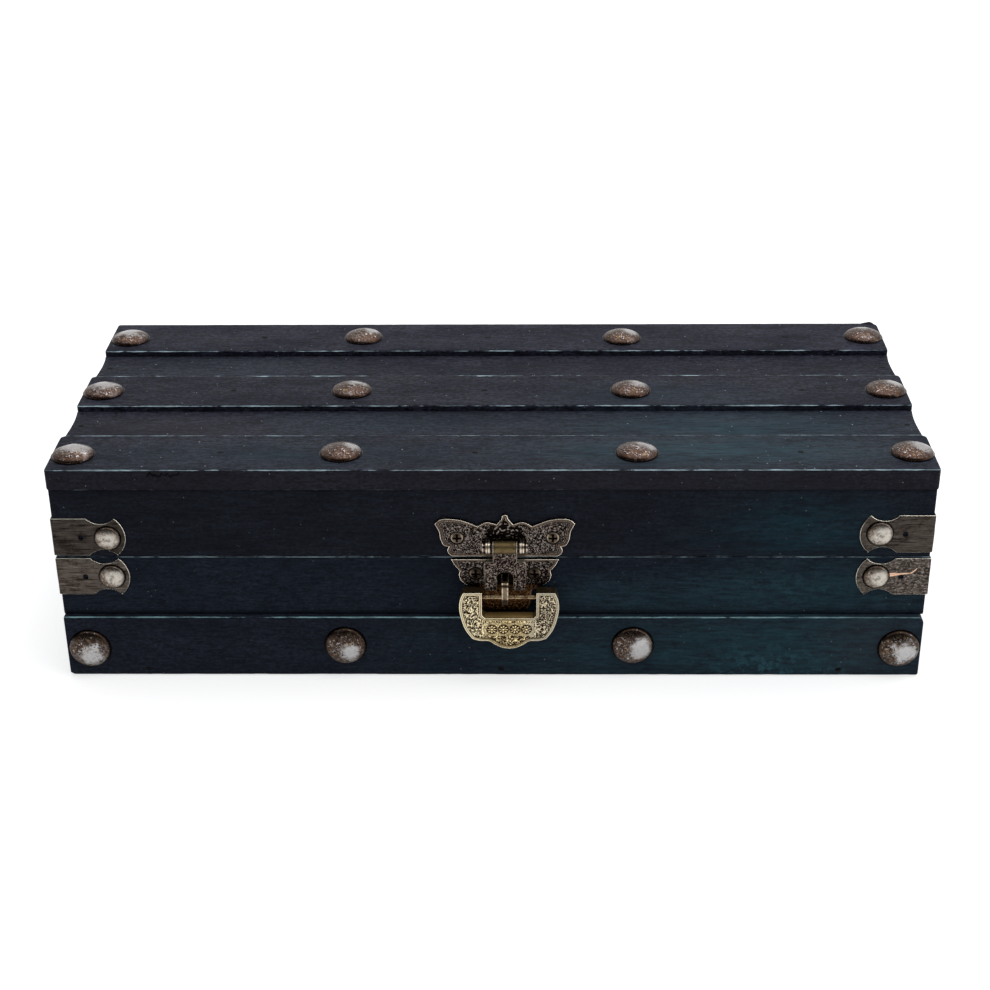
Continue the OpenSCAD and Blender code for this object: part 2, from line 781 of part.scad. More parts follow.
module base_back_band() {
    color(teal_color) difference() {
        mirror([0, 1, 0]) band();
        at_bottom_brads() brad_hole();
    }
}

module base_left_end() {
    color(wood_color) difference() {
        end_panel(-1, 0, seam_z);
        at_end_brads(base_strap_z) brad_hole();
        strap_nail_holes(-1, base_strap_z, base_strap_shares);
    }
}

module base_right_end() {
    color(wood_color) difference() {
        end_panel(1, 0, seam_z);
        at_end_brads(base_strap_z) brad_hole();
        strap_nail_holes(1, base_strap_z, base_strap_shares);
    }
}

module stud() {
    dome_nail(stud_r, stud_h, stud_edge_r, stud_t, stud_nail_r, stud_nail_l);
}

module front_band_studs() {
    color(stud_color) at_band_studs() stud();
}

module base_left_strap() {
    color(strap_color) strap(-1, base_strap_z, base_strap_shares);
}

module base_right_strap() {
    color(strap_color) strap(1, base_strap_z, base_strap_shares);
}

module strap_nails(z, shares) {
    color(nail_color) for (side = [-1, 1]) at_strap_nails(side, z, shares)
        translate([0, 0, strap_t])
            button_nail(strap_nail_r, strap_nail_h, strap_shank_r,
                        strap_shank_l + strap_t);
}

module base_strap_nails() {
    strap_nails(base_strap_z, base_strap_shares);
}

module lower_hasp_plate() {
    color(bronze_color) difference() {
        on_front(hasp_x, tail_top - tail_h) tail_points_plate();
        at_tail_screws() nail_hole(screw_r, screw_l, plate_t + cut);
        staple_sockets(staple_leg + hole_fit);
    }
}

// Loop of the staple seen from the side, out along x and up along y
module staple_profile() {
    inner_r = staple_r - staple_t + bar_gap;
    depth = staple_leg + staple_out;
    difference() {
        translate([-staple_leg, 0]) square([depth, staple_h]);
        translate([-staple_leg - cut, staple_t])
            square([depth - staple_t - inner_r + cut, staple_h - 2 * staple_t]);
        translate([-staple_leg, staple_t + inner_r])
            square([depth - staple_t, staple_h - 2 * (staple_t + inner_r)]);
        for (y = [staple_t + inner_r, staple_h - staple_t - inner_r])
            translate([staple_out - staple_t - inner_r, y]) circle(inner_r);
        for (y = [0, staple_h - staple_r])
            translate([staple_out - staple_r, y])
                difference() {
                    square([staple_r + cut, staple_r]);
                    translate([0, y > 0 ? 0 : staple_r]) circle(staple_r);
                }
    }
}

module hasp_staple() {
    color(gold_color)
        translate([hasp_x - staple_w / 2, -wall_y, staple_foot]) mirror([0, 1, 0])
            rotate([90, 0, 90]) linear_extrude(staple_w) staple_profile();
}

// Holes for both legs of the staple
module staple_sockets(depth) {
    for (z = [staple_foot, staple_top - staple_t])
        on_front(hasp_x, z + staple_t / 2)
            translate([-staple_w / 2 - hole_fit, -staple_t / 2 - hole_fit, -depth])
                cube([staple_w + 2 * hole_fit, staple_t + 2 * hole_fit,
                      depth + plate_t + cut]);
}

module lower_hasp_screws() {
    color(bronze_color) at_tail_screws() translate([0, 0, plate_t - plate_rim_h])
        screw(plate_t - plate_rim_h);
}

module left_hinge_base_leaf() {
    color(strap_color) hinge_leaf(-hinge_x_share * box_w / 2, -1);
}

module right_hinge_base_leaf() {
    color(strap_color) hinge_leaf(hinge_x_share * box_w / 2, -1);
}

module hinge_pins() {
    color(steel_color) for (h = [-1, 1])
        translate([h * hinge_x_share * box_w / 2 - hinge_w / 2, hinge_axis_y,
                   hinge_axis_z])
            rotate([0, 90, 0]) cylinder(r = hinge_pin_r, h = hinge_w);
}

module hinge_base_screws() {
    color(strap_color) at_hinge_screws(-1) translate([0, 0, hinge_t]) screw(hinge_t);
}

module base_brads() {
    color(steel_color) {
        at_end_brads(base_strap_z) brad();
        at_bottom_brads() brad();
    }
}

// Lid
module slat_holes(row, shares, y) {
    at_slat_studs(shares, y) nail_hole(stud_nail_r, stud_nail_l, cut);
    at_batten_brads(row, y) brad_hole();
}

front_y = (slat_w - box_d) / 2;
rear_y = (box_d - slat_w) / 2;

module front_slat() {
    color(wood_color) difference() {
        slat(front_y);
        slat_holes(0, front_stud_shares, front_y);
    }
}

module middle_slat() {
    color(wood_color) difference() {
        slat(middle_y);
        slat_holes(1, middle_stud_shares, middle_y);
    }
}

module rear_slat() {
    color(wood_color) difference() {
        slat(rear_y);
        slat_holes(2, rear_stud_shares, rear_y);
    }
}

front_sunk_y = (front_y + middle_y) / 2;
rear_sunk_y = (rear_y + middle_y) / 2;

module front_sunk_plank() {
    color(teal_color) difference() {
        sunk_plank(front_y + slat_w / 2, middle_y - slat_w / 2);
        at_sunk_brads(front_sunk_y) brad_hole();
    }
}

module rear_sunk_plank() {
    color(wood_color) difference() {
        sunk_plank(middle_y + slat_w / 2, rear_y - slat_w / 2);
        at_sunk_brads(rear_sunk_y) brad_hole();
    }
}

module lid_front_rail() {
    color(wood_color) difference() {
        wall_plank(-wall_y, lid_foot, rail_top);
        at_end_brads(lid_strap_z) brad_hole();
        for (side = [-1, 1]) strap_nail_holes(side, lid_strap_z, lid_strap_shares);
        at_wing_screws() screw_holes();
    }
}

module lid_back_rail() {
    color(wood_color) difference() {
        wall_plank(inner_y, lid_foot, rail_top);
        at_end_brads(lid_strap_z) brad_hole();
        at_hinge_screws(1) screw_holes();
    }
}

module lid_end(side) {
    color(wood_color) difference() {
        end_panel(side, lid_foot, rail_top);
        at_end_brads(lid_strap_z) brad_hole();
        strap_nail_holes(side, lid_strap_z, lid_strap_shares);
        at_sunk_brads(front_sunk_y) brad_hole();
        at_sunk_brads(rear_sunk_y) brad_hole();
    }
}

module lid_left_end() {
    lid_end(-1);
}

module lid_right_end() {
    lid_end(1);
}

module lid_battens() {
    color(inner_color) difference() {
        for (s = batten_shares)
            translate([s * box_w / 2 - batten_w / 2, -inner_y, rail_top - batten_t])
                cube([batten_w, 2 * inner_y, batten_t]);
        at_batten_brads(0, front_y) brad_hole();
        at_batten_brads(1, middle_y) brad_hole();
        at_batten_brads(2, rear_y) brad_hole();
    }
}

module slat_studs(shares, y) {
    color(stud_color) at_slat_studs(shares, y) stud();
}

module front_slat_studs() {
    slat_studs(front_stud_shares, front_y);
}

module middle_slat_studs() {
    slat_studs(middle_stud_shares, middle_y);
}

module rear_slat_studs() {
    slat_studs(rear_stud_shares, rear_y);
}

module lid_left_strap() {
    color(strap_color) strap(-1, lid_strap_z, lid_strap_shares);
}

module lid_right_strap() {
    color(strap_color) strap(1, lid_strap_z, lid_strap_shares);
}

module lid_strap_nails() {
    strap_nails(lid_strap_z, lid_strap_shares);
}

module upper_hasp_plate() {
    color(bronze_color) difference() {
        union() {
            on_front(hasp_x, wing_foot) wing_points_plate();
            for (side = [-1, 1]) lug(side);
        }
        along_x(-pin_half, pin_half, hasp_pin_r + hole_fit, axis_out, axis_z);
        at_wing_screws() nail_hole(screw_r, screw_l, plate_t + cut);
    }
}

module upper_hasp_screws() {
    color(nail_color) at_wing_screws() translate([0, 0, plate_t - plate_rim_h])
        screw(plate_t - plate_rim_h);
}

module hasp_pin() {
    color(nail_color) {
        along_x(-pin_half, pin_half, hasp_pin_r, axis_out, axis_z);
        for (x = [-pin_half, lug_x + lug_t + hole_fit])
            along_x(x, x + hasp_pin_over - hole_fit, hasp_rivet_r, axis_out, axis_z);
    }
}

module left_hinge_lid_leaf() {
    color(strap_color) hinge_leaf(-hinge_x_share * box_w / 2, 1);
}

module right_hinge_lid_leaf() {
    color(strap_color) hinge_leaf(hinge_x_share * box_w / 2, 1);
}

module hinge_lid_screws() {
    color(strap_color) at_hinge_screws(1) translate([0, 0, hinge_t]) screw(hinge_t);
}

module lid_brads() {
    color(steel_color) {
        at_end_brads(lid_strap_z) brad();
        at_batten_brads(0, front_y) brad();
        at_batten_brads(1, middle_y) brad();
        at_batten_brads(2, rear_y) brad();
        at_sunk_brads(front_sunk_y) brad();
        at_sunk_brads(rear_sunk_y) brad();
    }
}

// Hasp tongue
module hasp_tongue() {
    color(bronze_color) difference() {
        union() {
            along_x(-knuckle_half, knuckle_half, knuckle_r, axis_out, axis_z);
            on_front(hasp_x, axis_z) translate([0, 0, tongue_back])
                linear_extrude(tongue_t) tongue_outline();
        }
        along_x(-lug_x, lug_x, hasp_pin_r + run_fit, axis_out, axis_z);
    }
}

// Padlock
module lock_body() {
    half = lock_half + cut;
    color(gold_color) on_front(lock_x, lock_foot) difference() {
        translate([0, 0, cast_back]) linear_extrude(cast_t) lock_outline();
        translate([0, 0, cast_back + cast_t - lock_rim_h])
            linear_extrude(lock_rim_h + cut)
                offset(delta = -lock_rim_w) lock_outline();
        // Bore for the bar through both ears
        translate([-half, bar_z - lock_foot, bar_out]) rotate([0, 90, 0])
            cylinder(r = bar_r + run_fit, h = 2 * half);
        // Channel for the spring leg, open to the right and closed by the back plate
        translate([channel_left, leg_z - lock_foot - channel_h / 2, cast_back - cut])
            cube([half - channel_left, channel_h, channel_t + cut]);
        // Room for the cross link at the right end
        translate([link_x - leg_gap, leg_z - lock_foot - channel_h / 2, cast_back - cut])
            cube([half, leg_drop + channel_h / 2 + bar_r + leg_gap, channel_t + cut]);
        // Keyhole at the left end
        translate([-half, leg_z - lock_foot - keyhole_h / 2, cast_back + leg_gap])
            cube([half + channel_left + cut, keyhole_h, keyhole_d]);
    }
}

module lock_back_plate() {
    color(gold_color) on_front(lock_x, lock_foot)
        translate([0, 0, cast_back - back_t]) linear_extrude(back_t) lock_outline();
}

// Bolt: the bar, its cross link and the spring leg in one bent piece
module lock_bolt() {
    leg_left = leg_left_share * lock_half;
    bar_left = bar_left_share * lock_half;
    leg_back = cast_back + leg_gap;
    link_foot = leg_z - leg_h / 2 - lock_foot;
    color(gold_color) on_front(lock_x, lock_foot) {
        translate([bar_left, bar_z - lock_foot, bar_out]) rotate([0, 90, 0])
            cylinder(r = bar_r, h = link_x + link_w / 2 - bar_left);
        translate([link_x, link_foot, leg_back])
            cube([link_w, leg_h / 2 + leg_drop + bar_r, leg_t]);
        translate([leg_left, link_foot, leg_back])
            cube([link_x + link_w / 2 - leg_left, leg_h, leg_t]);
    }
}

// Two leaf springs that spread from the leg's left end
module lock_springs() {
    leg_left = leg_left_share * lock_half;
    rise = leaf_room - leaf_t - leg_gap / 2;
    color(steel_color) on_front(lock_x, leg_z)
        translate([0, 0, cast_back + leg_gap]) linear_extrude(leg_t)
            for (side = [-1, 1]) mirror([0, side > 0 ? 0 : 1])
                polygon([[leg_left, leg_h / 2], [leg_left + leaf_t, leg_h / 2],
                         [leg_left + leaf_l, leg_h / 2 + rise],
                         [leg_left + leaf_l, leg_h / 2 + rise + leaf_t],
                         [leg_left, leg_h / 2 + leaf_t]]);
}

bottom_board();
base_front_plank();
base_front_band();
base_back_plank();
base_back_band();
base_left_end();
base_right_end();
front_band_studs();
base_left_strap();
base_right_strap();
base_strap_nails();
lower_hasp_plate();
hasp_staple();
lower_hasp_screws();
left_hinge_base_leaf();
right_hinge_base_leaf();
hinge_pins();
hinge_base_screws();
base_brads();
front_slat();
front_sunk_plank();
middle_slat();
rear_sunk_plank();
rear_slat();
lid_front_rail();
lid_back_rail();
lid_left_end();
lid_right_end();
lid_battens();
front_slat_studs();
middle_slat_studs();
rear_slat_studs();
lid_left_strap();
lid_right_strap();
lid_strap_nails();
upper_hasp_plate();
upper_hasp_screws();
hasp_pin();
left_hinge_lid_leaf();
right_hinge_lid_leaf();
hinge_lid_screws();
lid_brads();
hasp_tongue();
lock_body();
lock_back_plate();
lock_bolt();
lock_springs();
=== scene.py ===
"""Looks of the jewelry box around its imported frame: worn planks, hammered studs, aged straps and hasp.

Lengths are in millimetres, and MM turns them into metres. Colours are linear red, green and blue.
"""

import math

import bpy
import numpy as np
from mathutils import Matrix, Vector
from mathutils.geometry import delaunay_2d_cdt


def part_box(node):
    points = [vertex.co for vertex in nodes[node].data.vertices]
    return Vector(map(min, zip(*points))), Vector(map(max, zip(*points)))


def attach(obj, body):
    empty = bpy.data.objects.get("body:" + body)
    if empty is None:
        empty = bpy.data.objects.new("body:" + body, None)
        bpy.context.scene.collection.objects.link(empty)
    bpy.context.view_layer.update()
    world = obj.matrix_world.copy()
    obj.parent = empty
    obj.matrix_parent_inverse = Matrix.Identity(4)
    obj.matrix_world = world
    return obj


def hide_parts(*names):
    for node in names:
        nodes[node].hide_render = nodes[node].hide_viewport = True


MM = 0.001
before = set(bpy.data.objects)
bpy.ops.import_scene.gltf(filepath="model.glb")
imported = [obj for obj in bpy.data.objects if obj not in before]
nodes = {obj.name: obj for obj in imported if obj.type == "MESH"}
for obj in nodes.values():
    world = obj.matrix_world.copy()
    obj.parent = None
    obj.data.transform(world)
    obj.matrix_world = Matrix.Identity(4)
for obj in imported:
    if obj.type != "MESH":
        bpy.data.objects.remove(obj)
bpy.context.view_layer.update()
scene = bpy.context.scene


# Measures of the frame
def mm_box(node):
    """Lowest and highest corner of a CAD node in millimetres."""
    lo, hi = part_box(node)
    return np.array(lo) / MM, np.array(hi) / MM


def middle_of(node, axis):
    """Middle of a CAD node along an axis, which is 0, 1 or 2."""
    lo, hi = mm_box(node)
    return (lo[axis] + hi[axis]) / 2


PLANK_LO, PLANK_HI = mm_box("base_front_plank")
BAND_LO, BAND_HI = mm_box("base_front_band")
SLAT_LO, SLAT_HI = mm_box("front_slat")
WALL_Y, WALL_X, SEAM_Z = PLANK_LO[1], PLANK_HI[0], PLANK_HI[2]
BAND_Y, HALF_BAND, BAND_TOP = BAND_LO[1], BAND_HI[0], BAND_HI[2]
SLAT_FRONT, HALF_W, SLAT_TOP = SLAT_LO[1], SLAT_HI[0], SLAT_HI[2]
PLATE_LO, PLATE_HI = mm_box("upper_hasp_plate")
TAIL_LO, TAIL_HI = mm_box("lower_hasp_plate")
TONGUE_LO = mm_box("hasp_tongue")[0]
STAPLE_LO, STAPLE_HI = mm_box("hasp_staple")
LOCK_LO, LOCK_HI = mm_box("lock_body")
HASP_X = middle_of("hasp_tongue", 0)
BARREL_UP, GAP_DEPTH, SLOT_DEPTH = 3.7, 8.0, 5.8
AXIS_Z = PLATE_LO[2] + BARREL_UP
GAP_FLOOR = LOCK_HI[2] - GAP_DEPTH
SLOT_TOP = TONGUE_LO[2] + SLOT_DEPTH

# Sizes that the frame's boxes don't give: thicknesses, screw places, and the pitch of the reliefs
PLATE_T, RIM_H, RIM_W = 1.1, 0.3, 0.5
TONGUE_GAP, TONGUE_T = 0.35, 1.2
WING_SCREW_X, WING_SCREW_Z = 13.1, PLATE_LO[2] + 5.6
TAIL_SCREW_X, TAIL_SCREW_Z = 8.1, TAIL_HI[2] - 4.6
STRAP_H = 11.4
FINE = 0.15


# Smooth noise and curves on arrays
def lattice(ix, iy, iz, seed):
    """A number from -1 to 1 for each lattice point, always the same for the same point and seed."""
    n = (ix * 374761393 + iy * 668265263 + iz * 1440662683 + seed * 974711) & 0xFFFFFFFF
    n = ((n ^ (n >> 13)) * 1274126177) & 0xFFFFFFFF
    return ((n ^ (n >> 16)) & 0xFFFF) / 32767.5 - 1.0


def noise(p, seed=0):
    """Smooth noise from -1 to 1 at the points p, an array of n by 3."""
    p = np.asarray(p, float)
    i = np.floor(p).astype(np.int64)
    f = p - i
    f = f * f * (3 - 2 * f)
    total = np.zeros(len(p))
    for dx in (0, 1):
        for dy in (0, 1):
            for dz in (0, 1):
                w = (np.where(dx, f[:, 0], 1 - f[:, 0]) * np.where(dy, f[:, 1], 1 - f[:, 1])
                     * np.where(dz, f[:, 2], 1 - f[:, 2]))
                total += w * lattice(i[:, 0] + dx, i[:, 1] + dy, i[:, 2] + dz, seed)
    return total


def layered(p, octaves=3, seed=0):
    """Noise of several octaves, from about -1 to 1."""
    p = np.asarray(p, float)
    total, weight = np.zeros(len(p)), 0.0
    for k in range(octaves):
        total += noise(p * 2.03 ** k, seed + 17 * k) * 0.5 ** k
        weight += 0.5 ** k
    return total / weight


def smooth(a, b, x):
    """Smooth step from 0 at a to 1 at b."""
    t = np.clip((x - a) / (b - a), 0, 1)
    return t * t * (3 - 2 * t)


def bell(x, middle, width):
    """1 in the middle, falling off smoothly on both sides."""
    return np.exp(-((x - middle) / width) ** 2)


def at_level(u, v, level=0.0):
    """Points in space for flat places, to take noise from."""
    return np.stack([u, v, np.full(len(u), level)], axis=1)


# Meshes
def piece(name, part, body, material, replaces=(), flat_faces=()):
    """A mesh object from a part, which is points in millimetres, faces and attributes, riding on a body."""
    points, faces, attributes = part
    mesh = bpy.data.meshes.new(name)
    mesh.from_pydata([tuple(p) for p in np.asarray(points) * MM], [], [tuple(map(int, f)) for f in faces])
    mesh.validate()
    mesh.polygons.foreach_set("use_smooth", [True] * len(mesh.polygons))
    for i in flat_faces:
        mesh.polygons[i].use_smooth = False
    for key, values in attributes.items():
        layer = mesh.attributes.new(key, "FLOAT", "POINT")
        layer.data.foreach_set("value", np.asarray(values, np.float32))
    mesh.update()
    obj = bpy.data.objects.new(name, mesh)
    scene.collection.objects.link(obj)
    obj.data.materials.append(material)
    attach(obj, body)
    if replaces:
        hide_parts(*replaces)


def merge(parts):
    """Joins (points, faces, attributes) of several parts into one."""
    points, faces, attributes, start = [], [], {}, 0
    for p, f, a in parts:
        points.append(np.asarray(p))
        faces += [tuple(int(i) + start for i in face) for face in f]
        for key, values in a.items():
            attributes.setdefault(key, []).append(np.asarray(values))
        start += len(p)
    return np.concatenate(points), faces, {k: np.concatenate(v) for k, v in attributes.items()}


def tube(rows, turns, start=0):
    """Faces between rows of points, each row a closed ring of so many turns."""
    faces = []
    for i in range(start, start + (rows - 1) * turns, turns):
        for k in range(turns):
            j = (k + 1) % turns
            faces.append((i + k, i + j, i + turns + j, i + turns + k))
    return faces


def on_surface(center, axes, offsets):
    """Points at offsets from a centre along three axes, which are Vectors."""
    u, w, n = axes
    return [tuple(Vector(center) + u * float(a) + w * float(b) + n * float(h)) for a, b, h in offsets]


def ring_angles(count):
    """Angles of so many points round a circle."""
    return np.linspace(0, 2 * math.pi, count, endpoint=False)


# Planks
CORNER_STEPS, WARP = 5, 0.05
MARKS = ("teal", "smear", "painted_shade", "pale")


def section(a0, a1, b0, b1, r, pitch):
    """Closed loop round a rectangle with rounded corners: places, outward normals, the corner that each point
    is on or -1, and how far round that corner it is, from 0 at its ends to 1 in its middle."""
    corners = [(a0, b0, 180), (a1, b0, 270), (a1, b1, 0), (a0, b1, 90)]
    places, normals, which, weight = [], [], [], []
    for c, (a, b, start) in enumerate(corners):
        ca = a + (r if a == a0 else -r)
        cb = b + (r if b == b0 else -r)
        for k in range(CORNER_STEPS):
            angle = math.radians(start + 90 * k / (CORNER_STEPS - 1))
            n = (math.cos(angle), math.sin(angle))
            places.append((ca + r * n[0], cb + r * n[1]))
            normals.append(n)
            which.append(c)
            weight.append(max(0.0, math.sin(math.pi * k / (CORNER_STEPS - 1))))
        na, nb, _ = corners[(c + 1) % 4]
        ea = na + (r if na == a0 else -r)
        eb = nb + (r if nb == b0 else -r)
        last = places[-1]
        end = (ea + r * n[0], eb + r * n[1])
        count = max(1, int(math.dist(last, end) / pitch))
        for k in range(1, count):
            t = k / count
            places.append((last[0] + t * (end[0] - last[0]), last[1] + t * (end[1] - last[1])))
            normals.append(n)
            which.append(-1)
            weight.append(0)
    return np.array(places), np.array(normals), np.array(which), np.array(weight)


def stations(length, end_r, pitch, fine):
    """Places along a plank: dense near both ends and in the fine ranges."""
    near = [0, 0.08 * end_r, 0.3 * end_r, 0.65 * end_r, end_r, 1.7 * end_r, 2.6 * end_r]
    s = list(near) + [length - d for d in near]
    s += list(np.linspace(end_r, length - end_r, max(2, int(length / pitch)))[1:-1])
    for a, b, step in fine:
        s = [x for x in s if not a < x < b] + list(np.arange(a, b + step / 2, step))
    return np.array(sorted(set(round(x, 4) for x in s)))


def rounding(radius, d):
    """How far an end that is rounded by radius is drawn in, at distance d from it."""
    t = np.clip(radius - d, 0, radius)
    return radius - np.sqrt(np.maximum(radius * radius - t * t, 0))


def worn(flat, arc, seed, chips, carve):
    """Depth worn off each point and how much painted shade it gets there: warp, nicked corners, chips and a
    carved crack.
    """
    dig = WARP * (0.5 + 0.5 * layered(flat * (0.05, 0.2, 0.2), 2, seed))
    dig += arc * 0.16 * np.clip(layered(flat * (0.35, 0.3, 0.3), 3, seed + 5), 0, 1)
    dark = np.zeros(len(flat))
    for place, radius, depth in chips:
        far = np.linalg.norm((flat - np.array(place)) / np.array(radius), axis=1)
        bite = np.clip(1 - far * (1 + 0.45 * layered(flat * 1.7, 2, seed + 9)), 0, 1)
        dig += depth * bite
        dark = np.maximum(dark, smooth(0.05, 0.4, bite))
    if carve is not None:
        cut = carve(flat)
        dig += cut
        dark = np.maximum(dark, smooth(0.06, 0.2, cut))
    return dig, dark


def round_nose(flat, l1, b1, nose):
    """Rounds the upper corner of the far end."""
    du, dv = flat[:, 0] - (l1 - nose), flat[:, 2] - (b1 - nose)
    far = np.hypot(du, dv)
    cut = (du > 0) & (dv > 0) & (far > nose)
    flat[cut, 0] = (l1 - nose + du * nose / np.maximum(far, 1e-6))[cut]
    flat[cut, 2] = (b1 - nose + dv * nose / np.maximum(far, 1e-6))[cut]


def plank_part(lo, hi, axis, seed, ease=0.4, end_r=0.35, plan_r=0.4, pitch=1.3, side_pitch=1.1,
               rub=(0, 0, 0, 0), chips=(), fine=(), carve=None, marks=(), across=2, hollow=0.0, nose=None,
               rear_r=None, face=0.0, lip=0.0):
    """Board with eased, unevenly worn edges. Its section's corners are numbered low-low, high-low, high-high,
    low-high, and rub is how worn each is. marks are soft patches (kind, x, place across, two radii, amount),
    placed on the coordinate named by across. hollow pulls the middle of both ends in; nose rounds the upper
    corner of the far end; rear_r rounds the plan's corners at the high side; face is how pale the low side
    is; lip wears the upper edge at the high side."""
    if axis == "y":
        lo, hi = lo[[1, 0, 2]], hi[[1, 0, 2]]
    (l0, a0, b0), (l1, a1, b1) = lo, hi
    places, normals, which, weight = section(a0, a1, b0, b1, ease, side_pitch)
    along = stations(l1 - l0, end_r, pitch, fine)
    m, n = len(along), len(places)
    ca, cb, half_a, half_b = (a0 + a1) / 2, (b0 + b1) / 2, (a1 - a0) / 2, (b1 - b0) / 2
    d_end = np.minimum(along, (l1 - l0) - along)
    low = 1 - rounding(plan_r, d_end) / half_a
    high = 1 - rounding(rear_r or plan_r, d_end) / half_a
    tall = 1 - rounding(end_r, d_end) / half_b
    grid = np.zeros((m, n, 3))
    grid[:, :, 0] = (l0 + along)[:, None]
    grid[:, :, 1] = ca + (places[:, 0] - ca) * np.where(places[:, 0] > ca, high[:, None], low[:, None])
    grid[:, :, 2] = cb + (places[:, 1] - cb) * tall[:, None]
    flat = grid.reshape(-1, 3)
    dig, dark = worn(flat, np.tile(weight, m) ** 0.5, seed, chips, carve)
    out = np.tile(normals, (m, 1))
    flat[:, 1] -= out[:, 0] * dig
    flat[:, 2] -= out[:, 1] * dig
    share = (flat[:, 1] - ca) / half_a
    ends = np.sign(along - (l1 - l0) / 2) * smooth(4.0, 0.0, d_end)
    flat[:, 0] -= hollow * np.repeat(ends, n) * (1 - share ** 2) * (1 + 0.5 * share)
    if nose:
        round_nose(flat, l1, b1, nose)
    faces = tube(m, n) + [tuple(range(n - 1, -1, -1)), tuple(range((m - 1) * n, m * n))]
    if axis == "y":
        faces = [f[::-1] for f in faces]
        flat = flat[:, [1, 0, 2]]
    rubbed = np.array([rub[c] if c >= 0 else 0 for c in which]) * weight ** 1.3
    rubbed[(which == 2) & (normals[:, 1] > 0.9)] = lip
    end_rub = smooth(0.4 * plan_r + 0.1, 0.02, d_end) * max(rub)
    wear = np.maximum(np.tile(rubbed, m), 0.8 * np.repeat(end_rub, n) * (0.3 + 0.7 * np.tile(weight, m)))
    values = {kind: np.zeros(len(flat)) for kind in MARKS}
    for kind, x, c, rx, rc, amount in marks:
        values[kind] += amount * np.exp(-((flat[:, 0] - x) / rx) ** 2 - ((flat[:, across] - c) / rc) ** 2)
    # Painted shade in the chips and in the crack
    values["painted_shade"] = np.maximum(values["painted_shade"], dark)
    values["pale"] += face * np.tile(normals[:, 0] < -0.9, m)
    values["rub"] = np.clip(wear, 0, 1)
    return flat, faces, values


def plank(name, node, body, material, slot="stained_wood", axis="x", **words):
    """Worn board in the place of a CAD node. Its last two faces are its flat ends."""
    part = plank_part(*mm_box(node), axis, **words)
    count = len(part[1])
    piece(name, part, body, material, (node,), (count - 2, count - 1))


# Reliefs on plates
def inside(points, loop):
    """True for the points inside a closed loop."""
    x, y = points[:, 0][:, None], points[:, 1][:, None]
    a, b = loop, np.roll(loop, -1, axis=0)
    crosses = (a[:, 1] > y) != (b[:, 1] > y)
    with np.errstate(divide="ignore", invalid="ignore"):
        at = (b[:, 0] - a[:, 0]) * (y - a[:, 1]) / (b[:, 1] - a[:, 1]) + a[:, 0]
    return (np.sum(crosses & (x < at), axis=1) % 2) == 1


def distance(points, loop):
    """Distance of each point from a closed loop."""
    a, b = loop, np.roll(loop, -1, axis=0)
    d = b - a
    length = np.maximum((d ** 2).sum(1), 1e-12)
    best = np.full(len(points), 1e9)
    for k in range(0, len(points), 4000):
        q = points[k:k + 4000][:, None, :] - a[None]
        t = np.clip((q * d).sum(2) / length, 0, 1)
        best[k:k + 4000] = np.sqrt(((q - t[:, :, None] * d) ** 2).sum(2)).min(1)
    return best


def resampled(loop, pitch):
    """The loop with points at most pitch apart, its corners kept."""
    out = []
    for a, b in zip(loop, np.roll(loop, -1, axis=0)):
        count = max(1, int(math.ceil(np.linalg.norm(b - a) / pitch)))
        out += [a + (b - a) * k / count for k in range(count)]
    return np.array(out)


def within(points, loops):
    """True for the points inside the first loop and outside the others."""
    keep = inside(points, loops[0])
    for hole in loops[1:]:
        keep &= ~inside(points, hole)
    return keep


def triangulated(loops, extra):
    """Flat points, triangles that turn left, and where each border point went."""
    points = np.concatenate(list(loops) + [extra]) if len(extra) else np.concatenate(loops)
    edges, start = [], 0
    for loop in loops:
        k = len(loop)
        edges += [(start + i, start + (i + 1) % k) for i in range(k)]
        start += k
    made = delaunay_2d_cdt([Vector(p) for p in points], edges, [], 1, 1e-6)
    flat = np.array([tuple(v) for v in made[0]])
    triangles = np.array([f for f in made[2] if len(f) == 3])
    triangles = triangles[within(flat[triangles].mean(1), loops)]
    a, b, c = (flat[triangles[:, k]] for k in range(3))
    turn = (b[:, 0] - a[:, 0]) * (c[:, 1] - a[:, 1]) - (b[:, 1] - a[:, 1]) * (c[:, 0] - a[:, 0])
    triangles[turn < 0] = triangles[turn < 0][:, ::-1]
    border = {i: k for k, ids in enumerate(made[3]) for i in ids if i < start}
    return flat, triangles, border


def relief_part(loops, pitch, height, place, back):
    """Closed sheet over the area inside the first loop and outside the others. height(points, distance from
    the first loop) gives the front. The back has no points but the border."""
    loops = [resampled(np.asarray(loop, float), pitch) for loop in loops]
    lo, hi = loops[0].min(0), loops[0].max(0)
    rows = np.arange(lo[1] + pitch / 2, hi[1], pitch * 0.87)
    grid = np.array([(x + (pitch / 2 if k % 2 else 0), y)
                     for k, y in enumerate(rows) for x in np.arange(lo[0], hi[0], pitch)])
    grid = grid[within(grid, loops)]
    far = np.min([distance(grid, loop) for loop in loops], axis=0)
    grid = grid[far > 0.45 * pitch]
    flat, triangles, border = triangulated(loops, grid)
    flat_back, triangles_back, border_back = triangulated(loops, [])
    rim = distance(flat, loops[0])
    top, shade = height(flat, rim)
    n = len(flat)
    front = place(flat[:, 0], flat[:, 1], top)
    behind = place(flat_back[:, 0], flat_back[:, 1], np.full(len(flat_back), back))
    behind_of = {k: n + border_back[i] for i, k in border.items()}
    used = {(int(t[i]), int(t[(i + 1) % 3])) for t in triangles for i in range(3)}
    sides = sorted(e for e in used if (e[1], e[0]) not in used)
    faces = [tuple(t) for t in triangles] + [tuple(t[::-1] + n) for t in triangles_back]
    faces += [(b, a, behind_of[a], behind_of[b]) for a, b in sides]
    zero = np.zeros(len(flat_back))
    values = {"shade": np.concatenate([shade, zero]), "rim": np.concatenate([rim, zero + 9.0])}
    return np.concatenate([front, behind]), faces, values


